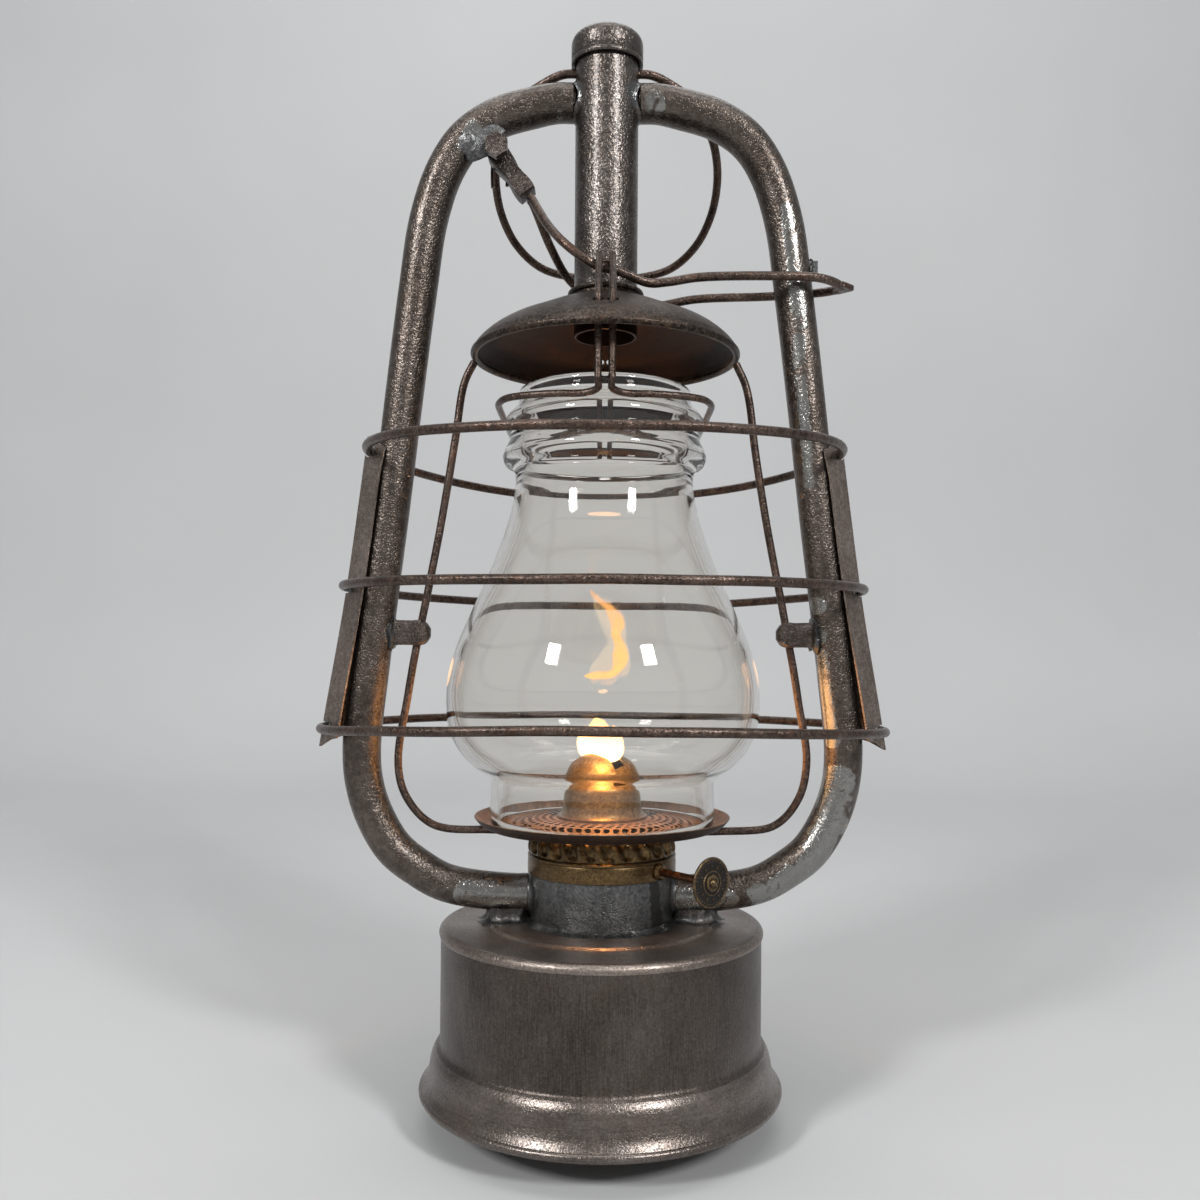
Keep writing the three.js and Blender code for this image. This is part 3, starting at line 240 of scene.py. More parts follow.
def round_noise(angle: float, waves: float, along: float) -> float:
    """Noise from -1 to 1 that meets itself after a full turn."""
    return noise.noise(Vector((math.cos(angle) * waves, math.sin(angle) * waves, along)))


def spun(profile: Sequence[Sequence[float]], segments: int = 96, closed: bool = False,
         swell: Callable[[float, float, float], float] | None = None) -> Shell:
    """Turns a profile round the Z axis.

    Args:
        profile: radius and height pairs.
        segments: how many steps the turn has.
        closed: whether the profile's end joins its start.
        swell: a rule that takes angle, radius and height and gives the radius there.

    Returns:
        The turned shell.
    """
    shell = Shell()
    rows = len(profile)
    for step in range(segments):
        angle = TAU * step / segments
        for row in profile:
            radius, height = row[0], row[1]
            if swell and radius > 0:
                radius = swell(angle, radius, height)
            shell.points.append(Vector((radius * math.cos(angle), radius * math.sin(angle), height)))
    shell.join_columns(segments, rows, closed)
    return shell


def ball(rows: int, segments: int) -> Shell:
    """A ball of radius 1."""
    return spun([(math.sin(math.pi * i / rows), -math.cos(math.pi * i / rows)) for i in range(rows + 1)],
                segments)


def oval(centre: Vector, across: tuple[Vector, Vector], half: Point2, sides: int) -> list[Vector]:
    """Points of an oval, by its middle, the two directions that it lies in and its half-widths."""
    (a, b), turns = across, [TAU * k / sides for k in range(sides)]
    return [centre + a * half[0] * math.cos(turn) + b * half[1] * math.sin(turn) for turn in turns]


def directions(line: Sequence[Vector], closed: bool,
               up: Vector) -> tuple[list[Vector], list[tuple[Vector, Vector]]]:
    """Finds how a line runs, and two directions across it that turn as little as they can.

    Args:
        line: the line.
        closed: whether it is a loop.
        up: a direction that the first one across starts out along.

    Returns:
        The direction at each point, and the two across.
    """
    count = len(line)
    tangents = []
    for i in range(count):
        before = line[i - 1] if closed or i > 0 else line[i]
        after = line[(i + 1) % count] if closed or i < count - 1 else line[i]
        tangents.append((after - before).normalized())
    side = (up - tangents[0] * up.dot(tangents[0])).normalized()
    across = []
    for i, tangent in enumerate(tangents):
        if i > 0:
            side = tangents[i - 1].rotation_difference(tangent) @ side
            side = (side - tangent * side.dot(tangent)).normalized()
        across.append((side.copy(), tangent.cross(side).normalized()))
    if closed:
        last = tangents[-1].rotation_difference(tangents[0]) @ across[-1][0]
        twist = math.atan2(last.dot(across[0][1]), last.dot(across[0][0]))
        turns = [-twist * i / count for i in range(count)]
        across = [(a * math.cos(turn) + b * math.sin(turn), b * math.cos(turn) - a * math.sin(turn))
                  for turn, (a, b) in zip(turns, across)]
    return tangents, across


def drawn(line: Sequence[Vector], radius: float | Callable[[float], Point2], sides: int = 12,
          closed: bool = False, up: Vector = Y_AXIS) -> Shell:
    """Draws a rod along a line.

    Args:
        line: the rod's middle line.
        radius: one radius, or a rule that gives the two half-widths at a share of the length.
        sides: how many sides the rod has.
        closed: whether the rod is a loop.
        up: a direction that the first half-width starts out along.

    Returns:
        The rod's shell, with its edges broken at the ends unless it is a loop.
    """
    end_width, end_inset = 0.8, 0.25
    last = len(line) - 1
    tangents, across = directions(line, closed, up)
    shell = Shell()
    for i, centre in enumerate(line):
        half = radius(i / max(last, 1)) if callable(radius) else (radius, radius)
        narrow = (half[0] * end_width, half[1] * end_width)
        inward = tangents[i] * min(half) * end_inset
        if closed or 0 < i < last:
            rings = [(centre, half)]
        elif i == 0:
            rings = [(centre, narrow), (centre + inward, half)]
        else:
            rings = [(centre - inward, half), (centre, narrow)]
        for middle, widths in rings:
            shell.points += oval(middle, across[i], widths, sides)
    count = len(shell.points) // sides
    shell.join_rings(count, sides, closed)
    if not closed:
        shell.close_ends(count, sides)
    return shell


def peg(start: Point3, end: Point3, radius: float, sides: int = 24) -> Shell:
    """A straight round cutter between two points."""
    return drawn([Vector(start), Vector(end)], radius, sides, up=X_AXIS if start[0] == end[0] else Y_AXIS)


def hand_made(line: Sequence[Vector], wander: float, seed: float) -> list[Vector]:
    """Lets a wire's line wander a little, as hand-bent wire does.

    Args:
        line: the line to disturb.
        wander: how far it may stray, in millimetres.
        seed: a number that picks the pattern.

    Returns:
        The disturbed line, with its ends kept.
    """
    settled, waves = 4, 0.06
    shift = Vector((seed, 0, 0))
    moved = []
    for i, point in enumerate(line):
        keep = min(1.0, i / settled, (len(line) - 1 - i) / settled)
        moved.append(point + noise.noise_vector(point * waves + shift) * wander * keep)
    return moved


def offset_profile(profile: Sequence[Point2], wall: float) -> list[Point2]:
    """Draws a second profile on the left of the first as it runs.

    Args:
        profile: the first profile.
        wall: how far the second is from it.

    Returns:
        The second profile, in the first one's order.
    """
    beside = []
    for i, point in enumerate(profile):
        before, after = profile[max(i - 1, 0)], profile[min(i + 1, len(profile) - 1)]
        run = Vector((after[0] - before[0], after[1] - before[1])).normalized()
        beside.append((point[0] - run.y * wall, point[1] + run.x * wall))
    return beside


def sheet_profile(profile: Sequence[Point2], wall: float) -> list[Point2]:
    """A closed profile of one wall's thickness that follows a line."""
    return [*profile, *offset_profile(profile, wall)[::-1]]


def arc(centre: Point2, radius: float, start: float, end: float, steps: int) -> list[Point2]:
    """Points of an arc between two angles in degrees."""
    angles = [math.radians(start + (end - start) * i / steps) for i in range(steps + 1)]
    return [(centre[0] + radius * math.cos(a), centre[1] + radius * math.sin(a)) for a in angles]


def round_end(middle: float, radius: float, step: int) -> list[Point2]:
    """A half circle that bulges towards -X, with a point at every so many degrees."""
    turns = [math.radians(angle) for angle in range(0, 181, step)]
    return [(middle - radius * math.sin(turn), radius * math.cos(turn)) for turn in turns]


def plate(outline: Sequence[Point2], low: float, high: float, bevel: float = 0.0) -> Shell:
    """A flat plate with an outline in XY, with its upper and lower edges broken.

    Args:
        outline: the corners, in order.
        low: height of the lower face.
        high: height of the upper face.
        bevel: how far the edges are broken.

    Returns:
        The plate's shell.
    """
    middle = Vector((sum(p[0] for p in outline), sum(p[1] for p in outline))) / len(outline)
    count = len(outline)
    shell = Shell()
    for height, inset in ((low, bevel), (low + bevel, 0.0), (high - bevel, 0.0), (high, bevel)):
        for x, y in outline:
            out = Vector((x, y)) - middle
            at = middle + out * max(0.0, 1 - inset / max(out.length, 1e-6))
            shell.points.append(Vector((at.x, at.y, height)))
    shell.join_rings(4, count)
    shell.close_ends(4, count)
    return shell


def blob(centre: Point3, size: Point3, seed: float, rough: float = 0.18) -> Shell:
    """A lump of solder: a ball squeezed to size and made uneven.

    Args:
        centre: its middle.
        size: its three half-widths.
        seed: a number that picks the pattern.
        rough: how uneven it is.

    Returns:
        The lump's shell.
    """
    rows, segments, waves = 14, 24, 1.7

    def uneven(point: Vector) -> Vector:
        """Where a point of the ball comes to lie."""
        out = point * (1 + rough * noise.noise(point * waves + Vector((seed, seed, 0))))
        return Vector([middle + part * half for middle, part, half in zip(centre, out, size)])

    return ball(rows, segments).bent(uneven)


def carve(solid: bpy.types.Object, cutters: Sequence[bpy.types.Object]) -> None:
    """Cuts the cutters out of a solid and removes them.

    Args:
        solid: the object to change.
        cutters: the objects to cut with.
    """
    for cutter in cutters:
        change = solid.modifiers.new("carve", "BOOLEAN")
        change.operation = "DIFFERENCE"
        change.object = cutter
        change.solver = "EXACT"
    bpy.context.view_layer.update()
    done = bpy.data.meshes.new_from_object(solid.evaluated_get(bpy.context.evaluated_depsgraph_get()))
    solid.modifiers.clear()
    solid.data = done
    done.polygons.foreach_set("use_smooth", [True] * len(done.polygons))
    done.set_sharp_from_angle(angle=math.radians(SHARP_FROM))
    for cutter in cutters:
        bpy.data.objects.remove(cutter)


# Shader maths


@dataclass(frozen=True)
class Signal:
    """A socket of a node tree that takes part in arithmetic."""

    tree: bpy.types.NodeTree
    socket: bpy.types.NodeSocket

    def _maths(self, operation: str, first: Signal | float, second: Signal | float) -> Signal:
        """Adds a Math node for two terms.

        Args:
            operation: what the node does.
            first: its first term.
            second: its second term.

        Returns:
            The node's result.
        """
        node = self.tree.nodes.new("ShaderNodeMath")
        node.operation = operation
        for place, term in enumerate((first, second)):
            if isinstance(term, Signal):
                self.tree.links.new(term.socket, node.inputs[place])
            else:
                node.inputs[place].default_value = term
        return Signal(self.tree, node.outputs[0])

    def __add__(self, other: Signal | float) -> Signal:
        """Adds."""
        return self._maths("ADD", self, other)

    __radd__ = __add__

    def __sub__(self, other: Signal | float) -> Signal:
        """Takes away."""
        return self._maths("SUBTRACT", self, other)

    def __rsub__(self, other: Signal | float) -> Signal:
        """Takes this away from the other."""
        return self._maths("SUBTRACT", other, self)

    def __mul__(self, other: Signal | float) -> Signal:
        """Multiplies."""
        return self._maths("MULTIPLY", self, other)

    __rmul__ = __mul__

    def __truediv__(self, other: Signal | float) -> Signal:
        """Divides."""
        return self._maths("DIVIDE", self, other)

    def __rtruediv__(self, other: Signal | float) -> Signal:
        """Divides the other by this."""
        return self._maths("DIVIDE", other, self)

    def higher_of(self, other: Signal | float) -> Signal:
        """The higher of the two."""
        return self._maths("MAXIMUM", self, other)

    def between(self, low: float, high: float) -> Signal:
        """Runs smoothly from 0 to 1 as this goes from one value to another.

        Args:
            low: the value that gives 0.
            high: the value that gives 1, which may be the smaller.

        Returns:
            The smooth share.
        """
        node = self.tree.nodes.new("ShaderNodeMapRange")
        node.interpolation_type = "SMOOTHSTEP"
        self.tree.links.new(self.socket, node.inputs["Value"])
        node.inputs["From Min"].default_value = low
        node.inputs["From Max"].default_value = high
        return Signal(self.tree, node.outputs[0])


class Recipe:
    """The node tree of a material, or of the world, while it is being written."""

    def __init__(self, name: str, kind: str = "Material") -> None:
        """Starts an empty tree.

        Args:
            name: the material's or world's name.
            kind: Material or World.
        """
        shelf = bpy.data.materials if kind == "Material" else bpy.data.worlds
        self.owner = shelf.new(name)
        self.owner.use_nodes = True
        self.tree = self.owner.node_tree
        self.tree.nodes.clear()
        self.output = self.tree.nodes.new("ShaderNodeOutput" + kind)

    def node(self, kind: str, settings: dict[str, object] | None = None, out: int | str = 0,
             **sockets: object) -> Signal:
        """Adds a node.

        Args:
            kind: the node's type, without its ShaderNode prefix.
            settings: the node's own settings, set first.
            out: which output to give back.
            **sockets: values or signals by socket name, with _ for a blank, or i and a number.

        Returns:
            The chosen output.
        """
        node = self.tree.nodes.new("ShaderNode" + kind)
        for key, value in (settings or {}).items():
            setattr(node, key, value)
        for key, value in sockets.items():
            socket = node.inputs[int(key[1:]) if key[1:].isdigit() else key.replace("_", " ")]
            if isinstance(value, Signal):
                self.tree.links.new(value.socket, socket)
            else:
                socket.default_value = (*value, 1) if socket.type == "RGBA" else value
        return Signal(self.tree, node.outputs[out])

    def place(self) -> Signal:
        """The point on the piece, in the lantern's own frame, in metres."""
        return self.node("TexCoord", out="Object")

    def parts(self, vector: Signal) -> list[Signal]:
        """The three parts of a vector."""
        outputs = self.node("SeparateXYZ", Vector=vector).socket.node.outputs
        return [Signal(self.tree, output) for output in outputs]

    def clouds(self, scale: float, detail: float, rough: float, warp: float = 0.0) -> Signal:
        """Soft noise from 0 to 1, with its scale in waves per metre."""
        return self.node("TexNoise", Vector=self.place(), Scale=scale, Detail=detail, Roughness=rough,
                         Distortion=warp)

    def cells(self, scale: float) -> Signal:
        """The distance to the nearest of scattered points, with its scale in points per metre."""
        return self.node("TexVoronoi", {"feature": "F1"}, "Distance", Vector=self.place(), Scale=scale)

    def blend(self, share: Signal | float, first: Signal | Colour, second: Signal | Colour) -> Signal:
        """Mixes two colours."""
        return self.node("Mix", {"data_type": "RGBA"}, 2, i0=share, i6=first, i7=second)

    def bump(self, height: Signal, distance: float, strength: float = 1.0,
             under: Signal | None = None) -> Signal:
        """Raises the surface by a height."""
        extra = {"Normal": under} if under else {}
        return self.node("Bump", Height=height, Distance=distance, Strength=strength, **extra)

    def finish(self, surface: Signal) -> bpy.types.Material | bpy.types.World:
        """Ends the tree with its surface."""
        self.tree.links.new(surface.socket, self.output.inputs["Surface"])
        return self.owner

    def near(self, spots: Sequence[Spot], ragged: float) -> Signal | float:
        """1 inside some balls and 0 outside, with ragged edges.

        Args:
            spots: the balls' middles and radii, in millimetres.
            ragged: how far the edges stray, as a share of the radius.

        Returns:
            The mask.
        """
        mask: Signal | float = 0.0
        stray = self.clouds(70, 6, 0.62, warp=0.8) - 0.5
        for x, y, z, radius in spots:
            away = self.node("VectorMath", {"operation": "DISTANCE"}, "Value", i0=self.place(),
                             i1=(x * MM, y * MM, z * MM))
            edge = (away / (radius * MM) + stray * (2 * ragged)).between(1.06, 0.94)
            mask = edge if isinstance(mask, float) else edge.higher_of(mask)
        return mask


# Finishes

SOOT = (0.02, 0.017, 0.015)
CHARRED = (0.012, 0.01, 0.009)
COTTON_LIGHT = (0.62, 0.55, 0.42)
COTTON_DARK = (0.36, 0.3, 0.21)
BLACK = (0, 0, 0)
DENT_DEPTH = 0.35
GRAIN_RADIUS = 0.054


@dataclass(frozen=True)
class Metal:
    """A worn metal finish.

    Colours are linear. Scales are waves per metre and depths are millimetres. The shares say how much of
    the tone comes from the grain (contrast) and from the fine lines (brushed), and how dark the pits are.
    """

    name: str
    dark: Colour
    light: Colour
    stain: Colour
    stain_share: float = 0.3
    metallic: float = 0.9
    gloss: Point2 = (0.26, 0.42)
    patches: float = 28.0
    speckle: float = 1250.0
    depth: float = 0.26
    contrast: float = 0.7
    pitting: float = 0.6
    brushed: float = 0.5
    coat: float = 0.15
    grain: Grain = Grain.NONE
    solder: tuple[Spot, ...] = ()
    solder_colour: Colour = (0.36, 0.36, 0.34)
    soot: tuple[Spot, ...] = ()

    def material(self) -> bpy.types.Material:
        """Writes the finish.

        Returns:
            The material.
        """
        recipe = Recipe(self.name)
        patches = recipe.clouds(self.patches, 7, 0.62, warp=0.6)
        grain = recipe.clouds(self.speckle, 2, 0.5)
        pits = recipe.cells(self.speckle * 1.1).between(0.5, 0.12)
        pits = pits * recipe.clouds(self.patches * 4, 4, 0.6).between(0.35, 0.6)
        lines = self._lines(recipe)
        tone = patches * 0.8 + grain * self.contrast + lines * self.brushed
        tone = (tone - 0.05 - (self.contrast + self.brushed) / 2).between(0.05, 0.9)
        colour = recipe.blend(tone, self.dark, self.light)
        stained = recipe.clouds(self.patches * 2.3, 8, 0.68, warp=1.2).between(0.5, 0.66)
        colour = recipe.blend(stained * self.stain_share, colour, self.stain)
        colour = recipe.blend(pits * self.pitting, colour, self.dark)
        rough = grain * (self.gloss[1] - self.gloss[0]) + self.gloss[0] + stained * 0.06 + pits * 0.1
        height = grain + lines * 0.5 - pits * 0.5
        if self.solder:
            colour, rough, height = self._tinned(recipe, colour, rough, height)
        if self.soot:
            sooty = recipe.near(self.soot, 0.5)
            colour = recipe.blend(sooty * 0.75, colour, SOOT)
            rough = rough + sooty * 0.15
        dents = recipe.clouds(70, 3, 0.5)
        normal = recipe.bump(dents, DENT_DEPTH * MM, 0.6)
        normal = recipe.bump(height, self.depth * MM, under=normal)
        surface = recipe.node("BsdfPrincipled", Base_Color=colour, Metallic=self.metallic, Roughness=rough,
                              Coat_Weight=self.coat, Coat_Roughness=0.22, Normal=normal)
        return recipe.finish(surface)

    def _tinned(self, recipe: Recipe, colour: Signal, rough: Signal,
                height: Signal) -> tuple[Signal, Signal, Signal]:
        """Lays runs of old solder over the finish, with worn islands in them.

        Args:
            recipe: the material being written.
            colour: the bare finish's colour.
            rough: its roughness.
            height: its relief.

        Returns:
            The three with the solder laid over them.
        """
        islands = recipe.clouds(110, 5, 0.6, warp=0.8).between(0.36, 0.46)
        melted = recipe.near(self.solder, 0.6) * islands
        tinned = recipe.clouds(520, 5, 0.65)
        dull = tuple(0.5 * part for part in self.solder_colour)
        colour = recipe.blend(melted * 0.9, colour, recipe.blend(tinned, dull, self.solder_colour))
        height = height * (1 - melted * 0.55) + (tinned + 1.2) * melted * 0.3
        return colour, rough * (1 - melted * 0.25), height

    def _lines(self, recipe: Recipe) -> Signal:
        """Draws fine lines that run up the piece or round it.

        Args:
            recipe: the material being written.

        Returns:
            The lines, from 0 to 1, or plain grain where the finish has none.
        """
        if self.grain is Grain.NONE:
            return recipe.clouds(self.speckle * 0.4, 2, 0.5)
        x, y, z = recipe.parts(recipe.place())
        girth = recipe.node("Math", {"operation": "ARCTAN2"}, i0=y, i1=x) * GRAIN_RADIUS
        across, along = (girth, z) if self.grain is Grain.UPRIGHT else (z, girth)
        stretched = recipe.node("CombineXYZ", X=across * 26, Y=along * 0.9, Z=0.0)
        return recipe.node("TexNoise", Vector=stretched, Scale=90.0, Detail=6.0, Roughness=0.7)


@dataclass(frozen=True)
class Glass:
    """Clear pressed glass."""

    name: str = "pressed_glass"
    tint: Colour = (0.945, 0.93, 0.9)

    def material(self) -> bpy.types.Material:
        """Writes the glass, with slight waves and a few seeds.

        Returns:
            The material.
        """
        recipe = Recipe(self.name)
        waves = recipe.clouds(22, 2, 0.4)
        streaks = recipe.clouds(240, 2, 0.5)
        normal = recipe.bump(waves, 0.5 * MM, 0.35)
        normal = recipe.bump(streaks, 0.02 * MM, 0.3, normal)
        film = recipe.clouds(60, 5, 0.6).between(0.45, 0.8)
        surface = recipe.node("BsdfPrincipled", Base_Color=self.tint, Roughness=film * 0.035, IOR=1.46,
                              Transmission_Weight=1.0, Normal=normal)
        return recipe.finish(surface)


@dataclass(frozen=True)
class Cotton:
    """Woven flat wick, charred near the top."""

    name: str = "woven_wick"
    threads: float = 1100.0
    burnt_from: float = 103.0
    burnt_to: float = 106.0

    def material(self) -> bpy.types.Material:
        """Writes the weave.

        Returns:
            The material.
        """
        recipe = Recipe(self.name)
        _, _, height = recipe.parts(recipe.place())
        weave = recipe.cells(self.threads)
        cloth = recipe.blend(weave, COTTON_LIGHT, COTTON_DARK)
        charred = height + recipe.clouds(300, 3, 0.5) * 0.004
        burnt = charred.between(self.burnt_from * MM, self.burnt_to * MM)
        colour = recipe.blend(burnt, cloth, CHARRED)
        surface = recipe.node("BsdfPrincipled", Base_Color=colour, Roughness=0.9,
                              Normal=recipe.bump(weave, 0.2 * MM, 0.8))
        return recipe.finish(surface)


@dataclass(frozen=True)
class Fire:
    """The flame's glow between two heights, hot at the foot and thin at the tip."""

    name: str
    low: float
    high: float
    foot: Colour
    tip: Colour
    strength: float
    ragged: float
    thin: float
    soft: float

    def material(self) -> bpy.types.Material:
        """Writes the glow.

        Returns:
            The material.
        """
        recipe = Recipe(self.name)
        _, _, height = recipe.parts(recipe.place())
        share = ((height - self.low * MM) / ((self.high - self.low) * MM)).between(0, 1)
        colour = recipe.blend(share, self.foot, self.tip)
        torn = recipe.clouds(190, 3, 0.5, warp=0.8)
        facing = recipe.node("LayerWeight", out="Facing", Blend=0.35)
        solid = (1 - facing * 0.95) * (1.15 - share * self.thin) - torn * self.ragged
        surface = recipe.node("BsdfPrincipled", Base_Color=BLACK, Roughness=1.0, Specular_IOR_Level=0.0,
                              Emission_Color=colour, Emission_Strength=self.strength,
                              Alpha=solid.between(0.1, self.soft))
        return recipe.finish(surface)


def run_of(radius: float, *points: Point3) -> tuple[Spot, ...]:
    """A run of overlapping spots along a line, for solder or soot.

    Args:
        radius: each spot's radius.
        *points: the line's corners.

    Returns:
        The spots' middles and radii.
    """
    spots = []
    for start, end in zip(points, points[1:]):
        first, last = Vector(start), Vector(end)
        count = max(1, round((last - first).length / radius))
        spots += [(*first.lerp(last, i / count), radius) for i in range(count)]
    return (*spots, (*points[-1], radius))


STEEL = Metal("aged_steel", (0.045, 0.034, 0.028), (0.2, 0.165, 0.142), (0.08, 0.05, 0.034))
STRIP = Metal("strip_steel", (0.13, 0.1, 0.083), (0.46, 0.39, 0.345), (0.2, 0.136, 0.095), depth=0.16)
FOUNT = Metal("brushed_fount_steel", (0.038, 0.03, 0.025), (0.17, 0.145, 0.128), (0.064, 0.044, 0.032),
              gloss=(0.26, 0.4), grain=Grain.UPRIGHT, coat=0.1, depth=0.11, pitting=0.2, brushed=0.75,
              contrast=0.5)
# A lighter, glossier copy of the fount's finish: painted sheen on the foot's flare, with its own round
# grain.
FLARE_PAINTED_SHEEN = Metal("foot_steel_painted_sheen", (0.08, 0.064, 0.055), (0.33, 0.29, 0.265), (0.14, 0.1, 0.074),
             gloss=(0.22, 0.34), grain=Grain.ROUND, depth=0.08, contrast=0.4)
# Lighter than the fount's finish: painted sheen on the lid. Its solder runs are real.
LID_PAINTED_SHEEN = Metal("lid_steel_painted_sheen", (0.12, 0.096, 0.082), (0.42, 0.36, 0.32), (0.17, 0.12, 0.086),
            gloss=(0.27, 0.42), grain=Grain.ROUND, depth=0.14,
            solder=(*run_of(2.2, (-10, -23.5, 56), (2, -25.5, 56), (12, -23, 56)), (34, -6, 56, 4),
                    (-34, -6, 56, 4)))
CHIMNEY = Metal("chimney_steel", (0.05, 0.04, 0.034), (0.215, 0.192, 0.178), (0.08, 0.055, 0.04),
                gloss=(0.22, 0.34), contrast=0.35, speckle=1100,
                solder=((-11, -4, 334, 4.5), (11, -5, 334, 5)), solder_colour=(0.15, 0.152, 0.155))
TUBES = Metal("tube_steel", (0.048, 0.037, 0.03), (0.205, 0.172, 0.151), (0.08, 0.053, 0.037),
              gloss=(0.23, 0.36), depth=0.24, contrast=0.35, speckle=1100,
              solder=(*run_of(4.5, (-25, -4, 66), (-36, -4, 66), (-45, -5, 65)),
                      *run_of(6, (27, -4, 62), (46, -5, 61), (60, -5, 66), (70, -4, 76), (77, -4, 90),
                              (79, -4, 104)),
                      *run_of(3.2, (77, -4, 118), (74, -4, 134), (74, -3, 146)),
                      *run_of(3.0, (60, -4, 296), (62, -5, 284), (64, -5.5, 268), (65, -6, 258)),
                      *run_of(2.2, (65, -6, 252), (65, -6, 240), (67, -6, 222), (68, -6, 204)),
                      *run_of(3.0, (-52, -3, 314), (-45, -4, 322)), (16, -4, 331, 4), (-16, -2, 330, 2.5),
                      (-73, 0, 153, 5), (72, 0, 153, 5.5), (73, -3, 163, 3.5), (73, -3, 141, 3.5)),
              solder_colour=(0.33, 0.327, 0.31))
SOLDERED = Metal("tinned_steel", (0.04, 0.04, 0.04), (0.18, 0.183, 0.183), (0.06, 0.05, 0.043),
                 gloss=(0.26, 0.42), speckle=1000, patches=70, depth=0.14)
SADDLE = Metal("saddle_solder", (0.05, 0.049, 0.047), (0.2, 0.198, 0.192), (0.08, 0.066, 0.056),
               gloss=(0.3, 0.46), patches=70, depth=0.14)
LUMP = Metal("lug_solder", (0.05, 0.05, 0.05), (0.24, 0.242, 0.242), (0.07, 0.058, 0.05),
             gloss=(0.3, 0.46), patches=90, depth=0.14)
EYES = Metal("eye_steel", (0.04, 0.031, 0.027), (0.16, 0.134, 0.12), (0.065, 0.045, 0.033), patches=70)
NECK = Metal("tinned_neck", (0.05, 0.05, 0.05), (0.22, 0.222, 0.222), (0.075, 0.062, 0.053),
             gloss=(0.22, 0.38), depth=0.2,
             soot=run_of(2.6, (17, -16.9, 73), (17.6, -16.3, 64), (18.5, -15.3, 58)))
WIRE = Metal("rusty_wire", (0.032, 0.02, 0.015), (0.18, 0.128, 0.103), (0.1, 0.046, 0.026),
             stain_share=0.45, gloss=(0.2, 0.38), patches=70, coat=0.1, metallic=0.8, speckle=1300,
             depth=0.24)
HOOD = Metal("hood_steel", (0.016, 0.012, 0.009), (0.14, 0.105, 0.084), (0.07, 0.04, 0.024),
             stain_share=0.55, gloss=(0.3, 0.48), coat=0.05, patches=45, depth=0.22, contrast=1.3)
# Near-black, reddish finish for the hood's underside, the chimney's bore and the chimney within the hood:
# soot with painted shade.
SOOT_AND_PAINTED_SHADE = Metal("hood_soot_and_painted_shade", (0.008, 0.005, 0.004), (0.024, 0.013, 0.009), (0.018, 0.009, 0.006),
                    stain_share=0.5, gloss=(0.34, 0.56), metallic=0.85, coat=0.0, grain=Grain.ROUND,
                    depth=0.05)
CAP_BRASS = Metal("burner_brass", (0.045, 0.026, 0.011), (0.26, 0.165, 0.066), (0.07, 0.036, 0.015),
                  stain_share=0.35, gloss=(0.24, 0.42), grain=Grain.ROUND, depth=0.03)
GALLERY_BRASS = Metal("gallery_brass", (0.04, 0.023, 0.01), (0.33, 0.21, 0.083), (0.07, 0.036, 0.015),
                      stain_share=0.4, gloss=(0.22, 0.42), depth=0.03, patches=60)
KNOB_BRASS = Metal("knob_brass", (0.04, 0.028, 0.016), (0.27, 0.18, 0.088), (0.045, 0.027, 0.016),
                   stain_share=0.4, gloss=(0.26, 0.46), patches=120, depth=0.02)
KNOB_DARK = Metal("knob_recess", (0.004, 0.003, 0.0024), (0.014, 0.01, 0.008), (0.014, 0.009, 0.006),
                  stain_share=0.5, metallic=0.4, gloss=(0.45, 0.65), coat=0.0, patches=120, depth=0.02)
SPINDLE = Metal("spindle_copper", (0.07, 0.027, 0.013), (0.3, 0.135, 0.064), (0.05, 0.02, 0.012),
                stain_share=0.4, gloss=(0.22, 0.38), coat=0.1, patches=90, depth=0.03)
CONE_BRASS = Metal("cone_brass", (0.165, 0.099, 0.0385), (0.572, 0.374, 0.154), (0.22, 0.11, 0.0473),
                   stain_share=0.4, gloss=(0.22, 0.4), coat=0.1, depth=0.04)
PLATE = Metal("rusty_plate", (0.13, 0.078, 0.05), (0.46, 0.3, 0.2), (0.17, 0.085, 0.047),
              stain_share=0.4, gloss=(0.34, 0.54), metallic=0.6, coat=0.05, patches=90, depth=0.12)
# A darker copy of the plate's finish: painted shade on the plate's underside and in its holes.
PLATE_PAINTED_SHADE = Metal("plate_underside_painted_shade", (0.02, 0.012, 0.008), (0.08, 0.046, 0.03), (0.05, 0.022, 0.012),
                    stain_share=0.45, gloss=(0.4, 0.6), metallic=0.6, coat=0.0, patches=90, depth=0.06)
FOOT_GLOW = Fire("flame_foot_glow", 108, 124, foot=(1.0, 0.74, 0.36), tip=(1.0, 0.5, 0.15), strength=4.2,
                 ragged=0.3, thin=0.35, soft=0.8)
TONGUE_GLOW = Fire("flame_tongue_glow", 137, 169, foot=(1.0, 0.5, 0.16), tip=(1.0, 0.44, 0.12), strength=1.6,
                   ragged=0.75, thin=0.3, soft=1.1)
Finish = Metal | Glass | Cotton | Fire


